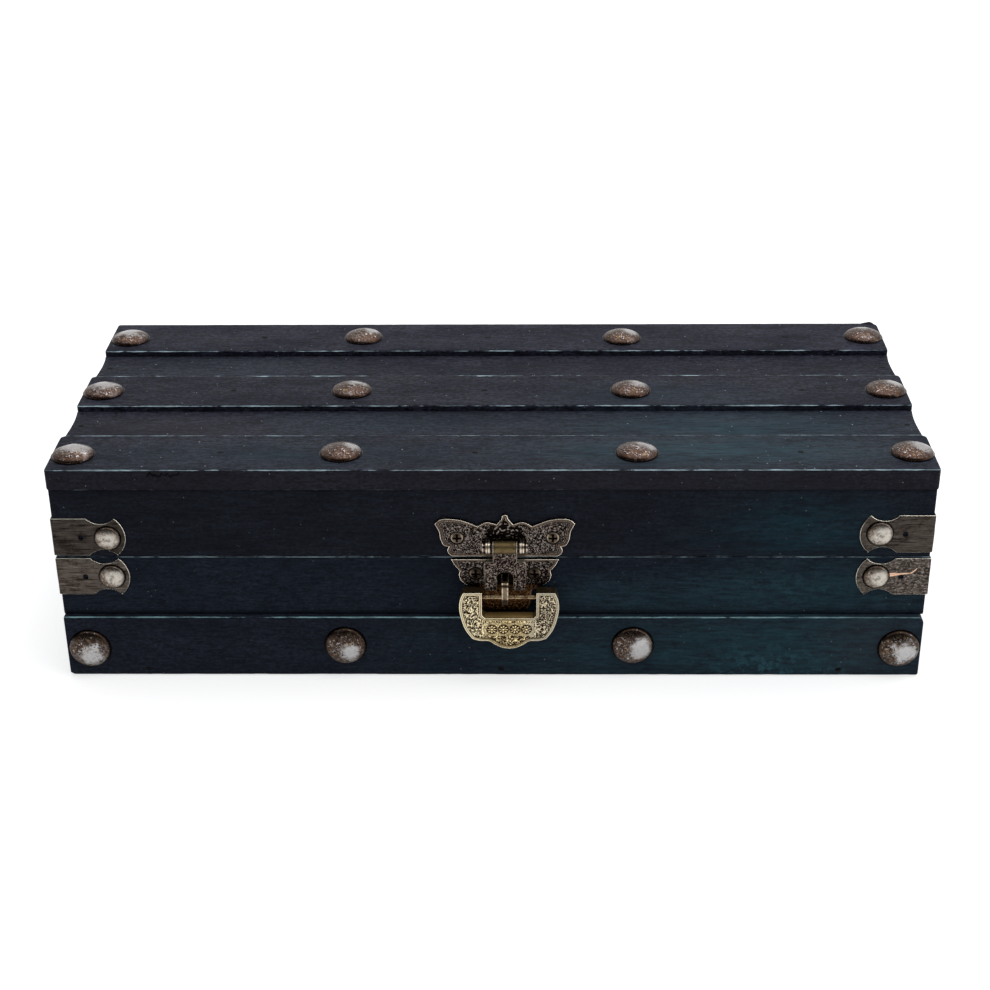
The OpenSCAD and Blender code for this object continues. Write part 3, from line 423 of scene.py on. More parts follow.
def on_front(x0):
    """Places flat points on the front wall: u right of x0, v up, out towards the viewer."""
    return lambda u, v, out: np.stack([x0 + u, WALL_Y - out, v], axis=1)


# Materials
def put(tree, socket, value):
    """Sets an input to a value, or links it to another node's output."""
    if isinstance(value, bpy.types.NodeSocket):
        tree.links.new(value, socket)
    else:
        socket.default_value = value


def add_node(tree, kind, inputs=None, **settings):
    """A shader node with its settings and inputs."""
    node = tree.nodes.new("ShaderNode" + kind)
    for key, value in settings.items():
        setattr(node, key, value)
    for key, value in (inputs or {}).items():
        put(tree, node.inputs[key], value)
    return node


class Paint:
    """A node material under construction; color is what is painted so far."""

    def __init__(self, name):
        self.material = bpy.data.materials.new(name)
        self.material.use_nodes = True
        self.tree = self.material.node_tree
        self.tree.nodes.clear()
        self.shader = self.add("BsdfPrincipled")
        self.add("OutputMaterial", {0: self.shader.outputs[0]})
        self.coordinates = self.add("TexCoord").outputs
        in_mm = self.add("VectorMath", {0: self.coordinates["Object"], 3: 1 / MM}, operation="SCALE")
        self.where = in_mm.outputs[0]
        self.x, self.y, self.z = self.add("SeparateXYZ", {0: self.where}).outputs
        self.color = None

    def add(self, kind, inputs=None, **settings):
        return add_node(self.tree, kind, inputs, **settings)

    def math(self, operation, *values, clamp=False):
        return self.add("Math", dict(enumerate(values)), operation=operation, use_clamp=clamp).outputs[0]

    def times(self, first, *rest):
        """Product of two or more values."""
        return self.math("MULTIPLY", first, rest[0] if len(rest) == 1 else self.times(*rest))

    def clamped(self, a, b=1.0):
        """Product of two values, from 0 to 1."""
        return self.math("MULTIPLY", a, b, clamp=True)

    def swing(self, value, size):
        """Distance of a value from one half, times size."""
        return self.times(self.math("SUBTRACT", value, 0.5), size)

    def waves(self, value, count):
        """Even threads across a field, 0 in their middle."""
        return self.math("ABSOLUTE", self.math("SINE", self.times(value, count)))

    def off_hasp(self):
        """Distance from the hasp's middle plane in x."""
        return self.math("ABSOLUTE", self.math("SUBTRACT", self.x, HASP_X))

    def texture(self, kind, scale, shift, inputs, **settings):
        """A texture over the object, with scale features per millimetre along all axes or along each."""
        scale = scale if isinstance(scale, tuple) else (scale, scale, scale)
        mapping = self.add("Mapping", {"Vector": self.where, "Location": shift, "Scale": scale}).outputs[0]
        return self.add(kind, {"Vector": mapping, "Scale": 1.0, **inputs}, **settings).outputs[0]

    def noise(self, scale, detail=3, roughness=0.55, offset=0.0, distortion=0.0):
        """Noise from 0 to 1."""
        inputs = {"Detail": detail, "Roughness": roughness, "Distortion": distortion}
        return self.texture("TexNoise", scale, (offset, offset * 1.7, offset * 0.6), inputs)

    def cells(self, scale, offset):
        """Distance from scattered points."""
        shift = (offset, offset * 0.7, offset * 1.3)
        return self.texture("TexVoronoi", scale, shift, {"Randomness": 1.0}, feature="F1")

    def range(self, value, a, b, to_a=0.0, to_b=1.0):
        """Smooth step from to_a where the value is a to to_b where it is b."""
        inputs = dict(enumerate((value, a, b, to_a, to_b)))
        return self.add("MapRange", inputs, interpolation_type="SMOOTHSTEP").outputs[0]

    def between(self, value, a, b, c, d):
        """1 from b to c, and 0 below a and above d."""
        return self.times(self.range(value, a, b), self.range(value, d, c))

    def mix(self, share, a, b):
        """Colour a where share is 0, b where it is 1."""
        a, b = ((*v, 1.0) if isinstance(v, tuple) else v for v in (a, b))
        return self.add("Mix", {0: share, 6: a, 7: b}, data_type="RGBA").outputs[2]

    def lay(self, share, color):
        """Paints a colour over what is there, as strong as share."""
        self.color = self.mix(share, self.color, color)

    def attribute(self, name):
        """A number that the mesh carries for each of its points."""
        return self.add("Attribute", attribute_name=name).outputs["Fac"]

    def bump(self, height, strength, depth):
        bump = self.add("Bump", {"Strength": strength, "Distance": depth * MM, "Height": height})
        put(self.tree, self.shader.inputs["Normal"], bump.outputs[0])

    def finish(self, roughness, metallic=0.0, specular=0.5):
        inputs = {"Base Color": self.color, "Roughness": roughness, "Metallic": metallic,
                  "Specular IOR Level": specular}
        for key, value in inputs.items():
            put(self.tree, self.shader.inputs[key], value)
        return self.material


def tinted(color, share):
    """A colour made darker or brighter."""
    return tuple(min(1.0, share * c) for c in color)


def stained_wood(name, seed, base, teal, axis="x", contrast=1.0, specks=1.0, bare=(0.42, 0.56, 0.62),
                 specular=0.05, dirt_and_shade_z=None, lines=0.5):
    """Dark stain over straight grain, with a teal cast and smears in painted patches and light rubbed edges.
    dirt_and_shade_z is the level of a board that it stands behind, above which dirt and painted shade darken
    the corner; lines is how strong the thin lines are."""
    p = Paint(name)

    def grain(long, cross, *words):
        return p.noise((long, cross, cross) if axis == "x" else (cross, long, cross), *words)

    fibre = grain(0.20, 1.2, 4, 0.72, seed)
    pores = grain(0.8, 1.7, 3, 0.7, seed + 7)
    cloud = grain(0.035, 0.09, 4, 0.6, seed + 11)
    mottle = p.noise(0.7, 3, 0.75, seed + 41)
    hollow, ridge = tinted(base, 1 - 0.58 * contrast), tinted(base, 1 + 0.66 * contrast)
    p.color = p.mix(p.range(fibre, 0.38, 0.62), hollow, ridge)
    for field, a, b, share, tint in ((pores, 0.50, 0.62, 0.85, 0.34), (pores, 0.47, 0.36, 0.70, 2.5),
                                     (mottle, 0.52, 0.62, 0.50, 2.1)):
        p.lay(p.times(p.range(field, a, b), share * contrast), tinted(base, tint))
    p.lay(p.range(cloud, 0.35, 0.70, 0.0, 0.55), tinted(base, 0.62))
    threads = p.waves(grain(0.020, 0.55, 2, 0.5, seed + 3, 0.4), 30.0)
    p.lay(p.times(p.range(threads, 0.22, 0.02), lines), tinted(base, 0.35))
    rings = p.waves(grain(0.010, 0.10, 2, 0.5, seed + 5, 0.9), 24.0)
    p.lay(p.times(p.range(rings, 0.14, 0.0), 0.45), tinted(base, 0.40))
    streak = p.range(grain(0.09, 0.8, 3, 0.6, seed + 19), 0.32, 0.66, 0.35, 1.0)
    cast = p.mix(p.range(fibre, 0.3, 0.7), tinted(teal, 0.7), tinted(teal, 1.3))
    p.lay(p.clamped(p.attribute("teal"), streak), cast)
    blots = p.range(p.noise((0.45, 0.35, 0.60), 4, 0.7, seed + 23), 0.48, 0.66)
    p.lay(p.clamped(p.attribute("smear"), blots), tinted(teal, 1.7))
    p.lay(p.clamped(p.attribute("pale")), tuple(c * k for c, k in zip(base, (2.9, 2.3, 1.8))))
    # Dirt and painted shade just above the board it stands behind
    if dirt_and_shade_z is not None:
        p.lay(p.range(p.z, dirt_and_shade_z, dirt_and_shade_z + 2.6, 0.7, 0.0), tinted(base, 0.35))
    dusty = p.range(p.noise(0.13, 2, 0.6, seed + 43), 0.42, 0.66, 0.12, 1.0)
    p.lay(p.times(p.range(p.cells(0.36, seed), 0.085, 0.045), dusty, 0.9 * specks), (0.36, 0.42, 0.44))
    rub = p.attribute("rub")
    rubbed = p.math("ADD", rub, p.swing(grain(0.30, 1.4, 4, 0.65, seed + 31), 2.0))
    rubbed = p.math("ADD", rubbed, p.swing(grain(0.06, 0.3, 2, 0.6, seed + 53), 1.8))
    bared = p.mix(p.range(grain(0.15, 0.5, 3, 0.6, seed + 37), 0.38, 0.62), tinted(bare, 0.42), bare)
    p.lay(p.times(p.range(rubbed, 0.50, 0.85), p.range(rub, 0.10, 0.35)), bared)
    # Painted shade: in chips and the crack, and on the wall seen through the padlock's gap
    p.lay(p.clamped(p.attribute("painted_shade")), (0.0012, 0.0012, 0.0016))
    p.bump(p.math("ADD", fibre, p.times(pores, 0.6)), 0.35, 0.10)
    return p.finish(p.range(cloud, 0.3, 0.7, 0.46, 0.62), 0.0, specular)


def dome_marks(p, seed, bright, brown, dark, pits, away):
    """Dark and bright flecks side by side, painted shade and highlight of little craters, away from the
    painted highlight; the curl in the middle, painted shade towards the rim and the painted shadow ring.
    """
    edge = p.attribute("edge")
    # Painted shade and painted highlight side by side, as of little craters
    for shift, a, share, color in ((21.3, 0.55, pits, dark), (21.0, 0.60, 0.8 * pits, tinted(bright, 1.2))):
        fleck = p.range(p.noise(1.5, 2, 0.6, seed + shift, 0.8), a, a + 0.06)
        p.lay(p.times(fleck, away, share), color)
    p.lay(p.times(p.attribute("mark"), 0.8), tinted(brown, 0.35))
    # Painted shade towards the dome's rim
    p.lay(p.range(edge, 0.30, 1.0, 0.0, 0.6), tinted(brown, 0.7))
    # Painted shadow ring under the dome
    p.lay(p.range(edge, 1.4, 1.9), (0.0015, 0.0012, 0.0012))


def relief_marks(p, seed, bright, dark, shade, glint):
    """Dark hollows, rubbed ridges and a few glints."""
    depth = p.attribute("shade")
    p.lay(p.range(depth, shade, 0.86, 1.0, 0.0), dark)
    p.lay(p.range(depth, 0.80, 1.0, 0.0, 0.9), tinted(bright, 2.9))
    glints = p.range(p.noise(2.9, 2, 0.6, seed + 47), 0.55, 0.64)
    p.lay(p.times(glints, p.range(depth, 0.45, 0.75, 0.0, 0.75)), tinted(bright, glint))


def aged_metal(name, seed, bright, brown, dark, rough, patina, scale, scratch=2.0, bump=0.2, edges=None,
               shade=0.0, tone=0.0, pits=0.4, gold=None, extra=None, blotch=1.0, streaks=1.0, metallic=1.0,
               glint=6.0):
    """Plated metal whose finish has worn and tarnished in patches. edges is (from, to, colour) on the rim
    distance, a bright line that is painted highlight with wear; shade is the height under which hollows are
    dark;
    tone is how far the tone attribute, a painted highlight on domes, shifts the patches; gold is a second
    colour in scattered patches; extra paints marks of the piece's own, painted light and shade among them."""
    p = Paint(name)
    cloud = p.noise(scale, 4, 0.62, seed, 0.4)
    fine = p.noise(5 * scale, 3, 0.65, seed + 5)
    brush = p.noise(scratch, 3, 0.68, seed + 9)
    cloud = p.math("MULTIPLY_ADD", p.math("SUBTRACT", cloud, 0.5), blotch, 0.5)
    mottle = p.math("ADD", cloud, p.swing(fine, 0.5 * blotch))
    holes = p.range(p.noise(2.1, 2, 0.7, seed + 17), 0.60, 0.68)
    away = 1.0
    if tone:
        # The tone attribute, a painted highlight on domes, brightens the patches
        mottle = p.math("SUBTRACT", mottle, p.times(p.attribute("tone"), tone))
        away = p.range(p.attribute("tone"), 0.5, -0.1, 0.10, 1.0)
        holes = p.times(holes, away, p.range(p.attribute("edge"), 0.15, 0.75, 0.35, 1.0))
    age = p.range(mottle, 0.60 - 0.3 * patina, 0.82 - 0.3 * patina)
    p.color = p.mix(age, bright, brown)
    if gold:
        p.lay(p.times(p.range(p.noise(0.9, 3, 0.65, seed + 13, 0.6), 0.58, 0.68), away, 0.7), gold)
    p.lay(p.times(p.range(brush, 0.52, 0.70), 0.40 * streaks), tinted(bright, 1.2 + 0.4 * streaks))
    p.lay(p.times(p.range(brush, 0.48, 0.32), 0.55 * streaks), tinted(brown, 0.5))
    p.lay(p.times(holes, pits), dark)
    if tone:
        dome_marks(p, seed, bright, brown, dark, pits, away)
    if shade:
        relief_marks(p, seed, bright, dark, shade, glint)
    # Bright line along the rim: painted highlight, with wear
    if edges:
        p.lay(p.range(p.attribute("rim"), edges[0], edges[1], 1.0, 0.0), edges[2])
    if extra:
        extra(p)
    p.bump(p.math("ADD", p.times(brush, 0.7), fine), bump, 0.08)
    return p.finish(p.range(p.math("ADD", age, p.times(brush, 0.4)), 0.1, 1.2, *rough), metallic)


def strap_marks(grain):
    """Bright grains and dark pits that grow to grain at the corner, and the bared copper of a scratch."""
    def paint(p):
        if grain:
            grains = p.noise((1.5, 2.4, 2.4), 2, 0.7, 31.0)
            share = p.range(p.x, WALL_X - 22, WALL_X - 2, 0.15, grain)
            p.lay(p.times(p.range(grains, 0.46, 0.36), share), (0.010, 0.008, 0.007))
            p.lay(p.times(p.range(grains, 0.54, 0.64), share), (0.26, 0.225, 0.20))
        p.lay(p.range(p.attribute("shade"), 0.2, 0.6), (0.70, 0.45, 0.31))
    return paint


def lit_lugs(p):
    """Painted highlight on the fronts of the two lugs, which stand out from the plate, with a darker line on
    each; painted shade beside the barrel.
    """
    du = p.off_hasp()
    tone = p.mix(p.range(du, 3.95, 4.2), (0.022, 0.014, 0.010), (0.66, 0.58, 0.47))
    tone = p.mix(p.between(du, 4.5, 4.65, 4.8, 4.95), tone, (0.20, 0.15, 0.11))
    p.lay(p.range(p.y, WALL_Y - 1.30, WALL_Y - 1.55), tone)


def lit_ends(at, metal):
    """Painted highlight on the turned edge beyond a distance from the hasp's middle, and painted shade just
    before it.
    """
    def paint(p):
        p.lay(p.between(p.off_hasp(), at - 0.30, at - 0.20, at - 0.1, at - 0.02), (0.02, 0.013, 0.009))
        p.lay(p.range(p.off_hasp(), at - 0.06, at), metal)
    return paint


def ringed_heads(dx, z, gleam):
    """Bright ring round a screw head, worn and painted highlight, and painted shade in its cross."""
    def paint(p):
        du, dv = p.math("SUBTRACT", p.off_hasp(), dx), p.math("SUBTRACT", p.z, z)
        r = p.math("SQRT", p.math("ADD", p.times(du, du), p.times(dv, dv)))
        p.lay(p.times(p.between(r, 1.15, 1.5, 1.6, 1.85), gleam), (0.36, 0.29, 0.21))
        cross = p.math("MINIMUM", p.math("ABSOLUTE", du), p.math("ABSOLUTE", dv))
        p.lay(p.times(p.range(cross, 0.42, 0.25), p.range(r, 1.35, 1.15)), (0.002, 0.0015, 0.001))
    return paint


def shade_behind_lock(p):
    """Painted shade, brown with specks, on the lower plate where the padlock hangs before it."""
    specks = p.range(p.noise(1.6, 3, 0.7, 51.0), 0.45, 0.65)
    brown_shade = p.mix(specks, (0.030, 0.014, 0.006), (0.16, 0.075, 0.026))
    p.lay(p.range(p.z, LOCK_HI[2] + 0.2, LOCK_HI[2] - 0.8, 0.0, 0.9), brown_shade)


def lit_gap(p):
    """Dark tops of the padlock's ears, and painted light on the upward floor of its gap: bright at its front
    edge, falling to painted shade towards the back.
    """
    p.lay(p.range(p.z, LOCK_HI[2] - 0.4, LOCK_HI[2] - 0.1, 0.0, 0.75), (0.030, 0.018, 0.010))
    upward = p.add("SeparateXYZ", {0: p.coordinates["Normal"]}).outputs[2]
    level = p.between(p.z, GAP_FLOOR - 0.6, GAP_FLOOR - 0.1, GAP_FLOOR + 0.3, GAP_FLOOR + 1.0)
    # Painted highlight at the floor's front edge, painted shade towards its back
    rubbed = p.mix(p.range(p.y, LOCK_LO[1] + 0.1, WALL_Y - 0.4), (1.0, 0.68, 0.26), (0.10, 0.04, 0.015))
    p.lay(p.times(p.range(upward, 0.6, 0.9), level), rubbed)


def lit_ear(p):
    """The ridges of the right ear are greyer and those of the left ear a paler, brighter gold."""
    for side, low, most, color in ((1, 0.35, 0.55, (0.42, 0.40, 0.35)), (-1, 0.45, 0.5, (0.90, 0.82, 0.60))):
        ear = p.range(p.x, HASP_X + side * 4.0, HASP_X + side * 8.5)
        p.lay(p.times(ear, p.range(p.attribute("shade"), low, 0.75, 0.0, most)), color)


def staple_shade(p):
    """Painted shade darkens the staple's middle, leaving a painted highlight along its edges, and makes it
    nearly black below the padlock's bar.
    """
    p.lay(p.range(p.off_hasp(), 0.62, 0.48, 0.0, 0.8), (0.080, 0.052, 0.030))
    p.lay(p.range(p.z, STAPLE_LO[2] + 2.1, STAPLE_LO[2] + 2.7, 0.95, 0.0), (0.016, 0.009, 0.005))


TEAL = (0.029, 0.076, 0.096)
slat_wood = stained_wood("slat_wood", 1.0, (0.0172, 0.0182, 0.0278), (0.025, 0.051, 0.066), contrast=1.25,
                         specks=1.2)
middle_wood = stained_wood("middle_wood", 12.0, (0.0162, 0.0170, 0.0268), (0.022, 0.042, 0.058), contrast=1.2)
rear_wood = stained_wood("rear_wood", 23.0, (0.0160, 0.0165, 0.0275), (0.018, 0.032, 0.044), contrast=1.15,
                         specks=0.9)
sunk_wood = stained_wood("sunk_wood", 34.0, (0.0170, 0.0180, 0.0275), (0.025, 0.050, 0.066), contrast=1.05,
                         lines=0.2)
rail_wood = stained_wood("rail_wood", 45.0, (0.0168, 0.0195, 0.0290), (0.020, 0.052, 0.070), contrast=0.6,
                         specks=0.6)
plank_wood = stained_wood("plank_wood", 56.0, (0.0165, 0.0222, 0.0350), TEAL, contrast=0.6, specks=0.5,
                          dirt_and_shade_z=BAND_TOP)
band_wood = stained_wood("band_wood", 67.0, (0.0200, 0.0240, 0.0370), TEAL, contrast=0.6, specks=0.7,
                         bare=(0.30, 0.52, 0.55))
end_wood = stained_wood("end_wood", 78.0, (0.0150, 0.0165, 0.0230), TEAL, axis="y")
inner_wood = stained_wood("inner_wood", 89.0, (0.0200, 0.0215, 0.0280), TEAL, contrast=0.65, specks=0.3,
                          lines=0.9)
dent_wood = stained_wood("brad_dent", 97.0, (0.0016, 0.0015, 0.0018), TEAL, specks=0.0, specular=0.08)

stud_top, stud_band = (
    aged_metal("stud_metal_" + name, seed, bright, brown, (0.010, 0.007, 0.006), (0.22, 0.36), 0.72, 0.22,
               1.1, 0.30, tone=0.24, pits=0.9, gold=(0.34, 0.22, 0.10), blotch=0.50, streaks=0.4)
    for name, seed, bright, brown in (("top", 3.0, (0.38, 0.362, 0.36), (0.066, 0.038, 0.028)),
                                      ("band", 4.0, (0.40, 0.392, 0.39), (0.060, 0.037, 0.026))))
strap_dark, strap_mid, strap_light, strap_pale = (
    aged_metal("strap_metal_" + name, seed, tinted((0.088, 0.073, 0.062), k),
               tinted((0.050, 0.037, 0.030), k), (0.012, 0.010, 0.009), (0.34, 0.5), 0.5, 0.25,
               (0.16, 1.9, 1.9), 0.3, edges=(0.06, 0.18, (0.90, 0.84, 0.72)), streaks=2.1,
               extra=strap_marks(grain))
    for name, seed, k, grain in (("dark", 5.0, 0.44, 0), ("mid", 6.0, 0.58, 0), ("light", 7.0, 0.82, 0),
                                 ("pale", 8.0, 0.72, 0.8)))
nail_metal = aged_metal("nail_metal", 7.0, (0.47, 0.435, 0.385), (0.12, 0.085, 0.062), (0.03, 0.02, 0.014),
                        (0.30, 0.42), 0.55, 0.22, 1.1, 0.25, tone=0.20, pits=0.6, blotch=0.4, streaks=0.6)
BRONZE = (0.11, 0.075, 0.052), (0.055, 0.031, 0.021), (0.010, 0.007, 0.005)
bronze_metal, lug_bronze = (
    aged_metal(name, seed, *BRONZE, (0.30, 0.48), 0.5, 0.5, bump=0.25, extra=extra)
    for name, seed, extra in (("bronze_metal", 9.0, None), ("lug_bronze", 10.0, lit_lugs)))
wing_screw_metal = aged_metal("wing_screw_metal", 12.0, (0.13, 0.10, 0.078), (0.07, 0.048, 0.034),
                              (0.010, 0.007, 0.005), (0.30, 0.48), 0.5, 0.6, bump=0.25,
                              extra=ringed_heads(WING_SCREW_X, WING_SCREW_Z, 0.9))
tail_screw_metal = aged_metal("tail_screw_metal", 14.0, (0.075, 0.055, 0.040), (0.035, 0.022, 0.015),
                              (0.008, 0.005, 0.004), (0.34, 0.5), 0.5, 0.6, bump=0.25,
                              extra=ringed_heads(TAIL_SCREW_X, TAIL_SCREW_Z, 0.25))
relief_bronze = aged_metal("relief_bronze", 11.0, (0.066, 0.055, 0.048), (0.052, 0.031, 0.025),
                           (0.004, 0.003, 0.0026), (0.28, 0.45), 0.45, 0.25, 2.5, 0.15,
                           edges=(0.08, 0.20, (1.0, 0.90, 0.76)), shade=0.38, extra=shade_behind_lock)
tongue_bronze = aged_metal("tongue_bronze", 16.0, (0.064, 0.051, 0.043), (0.052, 0.032, 0.026),
                           (0.006, 0.004, 0.0035), (0.28, 0.45), 0.45, 0.25, 2.5, 0.15,
                           edges=(0.06, 0.16, (0.52, 0.43, 0.33)), shade=0.36)
gold_metal = aged_metal("gold_metal", 13.0, (0.155, 0.110, 0.045), (0.060, 0.036, 0.014),
                        (0.016, 0.009, 0.004), (0.34, 0.55), 0.4, 0.6, extra=lit_gap, metallic=0.7)
relief_gold = aged_metal("relief_gold", 15.0, (0.35, 0.27, 0.145), (0.27, 0.185, 0.085),
                         (0.022, 0.012, 0.005), (0.25, 0.42), 0.35, 0.3, 2.5, 0.15,
                         edges=(0.07, 0.19, (0.90, 0.80, 0.60)), shade=0.27, extra=lit_ear, glint=3.3)
satin_metal = aged_metal("satin_metal", 17.0, (0.165, 0.118, 0.052), (0.100, 0.066, 0.030),
                         (0.02, 0.012, 0.006), (0.50, 0.60), 0.3, 0.7, (0.8, 2.2, 2.2), 0.3,
                         extra=lit_ends(3.14, (0.50, 0.45, 0.36)), metallic=0.85)
staple_metal = aged_metal("staple_metal", 18.0, (0.50, 0.42, 0.31), (0.30, 0.22, 0.15), (0.02, 0.012, 0.008),
                          (0.26, 0.4), 0.45, 0.8, extra=staple_shade)
bar_metal = aged_metal("bar_metal", 20.0, (0.30, 0.22, 0.13), (0.10, 0.06, 0.03), (0.02, 0.012, 0.006),
                       (0.24, 0.36), 0.6, 0.7, (0.5, 3.0, 3.0))
pin_metal = aged_metal("pin_metal", 21.0, (0.10, 0.070, 0.052), (0.05, 0.032, 0.022), (0.02, 0.013, 0.009),
                       (0.28, 0.42), 0.5, 0.8, extra=lit_ends(5.90, (0.62, 0.54, 0.44)))
dark_steel = aged_metal("dark_steel", 19.0, (0.035, 0.033, 0.033), (0.018, 0.015, 0.014),
                        (0.006, 0.005, 0.005), (0.4, 0.6), 0.5, 0.8)

# CAD nodes that keep their shape
KEPT = {
    lug_bronze: ("upper_hasp_plate",), tail_screw_metal: ("lower_hasp_screws",),
    wing_screw_metal: ("upper_hasp_screws",), pin_metal: ("hasp_pin",), satin_metal: ("hasp_tongue",),
    staple_metal: ("hasp_staple",), gold_metal: ("lock_body", "lock_back_plate"), bar_metal: ("lock_bolt",),
    dark_steel: ("lock_springs", "hinge_pins"), inner_wood: ("bottom_board", "lid_battens"),
    bronze_metal: ("lower_hasp_plate", "left_hinge_base_leaf", "right_hinge_base_leaf", "left_hinge_lid_leaf",
                   "right_hinge_lid_leaf", "hinge_base_screws", "hinge_lid_screws"),
}
for material, names in KEPT.items():
    for node in names:
        nodes[node].data.materials.clear()
        nodes[node].data.materials.append(material)


# Planks of the base, whose corners along x are front-bottom, back-bottom, back-top and front-top
def end_plank(name, node, body, seed, rub):
    """Board across one end of the box."""
    plank(name, node, body, end_wood, axis="y", seed=seed, ease=0.2, pitch=2.0, rub=rub)


BAND_EDGES = {"ease": 0.4, "plan_r": 0.35, "end_r": 0.6}
# The front plank's painted_shade mark is painted shade on the wall seen through the padlock's gap
plank("front_plank", "base_front_plank", "base", plank_wood, seed=1, ease=0.25, rub=(0, 0, 0.2, 0.95),
      marks=(("teal", 92, 27, 34, 9, 0.75), ("teal", 36, 24, 34, 6, 0.45), ("smear", 84, 28, 20, 7, 0.35),
             ("painted_shade", HASP_X + 7.0, GAP_FLOOR + 3.5, 1.6, 4.5, 0.9)))
plank("back_plank", "base_back_plank", "base", plank_wood, seed=2, ease=0.2, pitch=2.5, rub=(0, 0, 0.5, 0.2),
      marks=(("teal", -60, 27, 40, 9, 0.5),))
plank("front_band", "base_front_band", "base", band_wood, "teal_wood", seed=3, rub=(0.5, 0, 0, 1.3),
      **BAND_EDGES, fine=((2 * HALF_BAND - 4, 2 * HALF_BAND - 0.5, 0.3),), nose=2.1,
      chips=(((-HALF_BAND, BAND_Y, 0.0), (1.4, 9.0, 1.2), 0.5),),
      marks=(("teal", 90, 9, 36, 14, 1.0), ("teal", 26, 8, 44, 10, 0.6), ("smear", 84, 7, 26, 8, 0.5),
             ("smear", 80, 2.5, 18, 3.5, 0.8), ("pale", 104, 9, 14, 12, 0.34)))
plank("back_band", "base_back_band", "base", band_wood, "teal_wood", seed=4, pitch=2.5, rub=(0, 0.5, 0.9, 0),
      **BAND_EDGES, marks=(("teal", 50, 9, 50, 14, 0.5), ("teal", -70, 9, 40, 10, 0.3)))
end_plank("left_end", "base_left_end", "base", 5, (0, 0, 0.3, 0.5))
end_plank("right_end", "base_right_end", "base", 6, (0, 0, 0.5, 0.3))


# Planks of the lid
def crack(points):
    """Splintered crack along the front slat's face, near its left end."""
    x, y, z = points.T
    path = SLAT_TOP - 1.55 + 0.34 * np.sin(x * 1.7) + 0.26 * np.sin(x * 3.9 + 1) + 0.14 * np.sin(x * 8.3)
    along = smooth(-93.2, -91.8, x) * smooth(-82.2, -83.6, x)
    on_face = smooth(0.35, 0.1, y - SLAT_FRONT)
    width = 0.16 + 0.16 * smooth(-89.0, -91.0, x)
    return 0.5 * along * on_face * bell(z, path, width)


SLAT_EDGES = {"plan_r": 1.1, "end_r": 0.5, "across": 1}
plank("slat_front", "front_slat", "lid", slat_wood, seed=11, side_pitch=0.36, rub=(0.45, 0, 0.85, 1.1),
      **SLAT_EDGES, fine=((HALF_W - 95, HALF_W - 80, 0.25),), carve=crack, rear_r=2.2, face=0.30, lip=0.75,
      marks=(("teal", 62, -40, 46, 9, 1.1), ("teal", -60, -42, 44, 8, 0.40), ("pale", 30, -55, 60, 3, 0.20)))
plank("slat_middle", "middle_slat", "lid", middle_wood, seed=12, side_pitch=0.9, rub=(0.3, 0.2, 0.75, 0.9),
      **SLAT_EDGES, rear_r=2.2, lip=0.65, marks=(("teal", 50, -4, 30, 9, 0.45),))
plank("slat_rear", "rear_slat", "lid", rear_wood, seed=13, side_pitch=0.9, rub=(0.3, 0.2, 0.5, 0.75),
      **SLAT_EDGES, fine=((2 * HALF_W - 8, 2 * HALF_W - 0.6, 0.3),),
      chips=(((HALF_W - 2.4, -SLAT_FRONT - 0.2, SLAT_TOP), (2.6, 1.4, 1.4), -0.55),
             ((HALF_W, -SLAT_FRONT, SLAT_TOP), (1.6, 1.6, 1.6), 0.8)))
SUNK_EDGES = {"ease": 0.25, "rub": (0, 0, 0.3, 0.5), "across": 1, "hollow": 0.5}
plank("sunk_front", "front_sunk_plank", "lid", sunk_wood, "teal_wood", seed=14, **SUNK_EDGES,
      marks=(("teal", 66, -22, 40, 10, 0.95), ("smear", -42, -20, 26, 6, 0.20),
             ("teal", -30, -20, 34, 8, 0.25), ("pale", -88, -22, 26, 8, 0.22)))
plank("sunk_rear", "rear_sunk_plank", "lid", sunk_wood, seed=15, **SUNK_EDGES,
      marks=(("smear", -8, 14, 14, 4, 0.15), ("teal", -80, 18, 30, 9, 0.2)))
plank("rail_front", "lid_front_rail", "lid", rail_wood, seed=16, ease=0.2, rub=(0.8, 0, 0, 0),
      marks=(("teal", 86, 49, 22, 8, 0.75), ("teal", 84, 43, 28, 5, 0.55), ("smear", 86, 47, 16, 7, 0.40)))
plank("rail_back", "lid_back_rail", "lid", rail_wood, seed=17, ease=0.2, pitch=2.5, rub=(0, 0.5, 0, 0),
      marks=(("teal", -30, 48, 40, 8, 0.35),))
end_plank("lid_end_left", "lid_left_end", "lid", 18, (0.45, 0, 0, 0))
end_plank("lid_end_right", "lid_right_end", "lid", 19, (0, 0.45, 0, 0))


# Domed nails; a size is the radius, the height and the radius of the round edge
STUD = 5.85, 2.4, 1.2
STRAP_T, NAIL_SUNK = 0.5, 0.06
NAIL = 3.6, 1.5 - NAIL_SUNK, 0.9


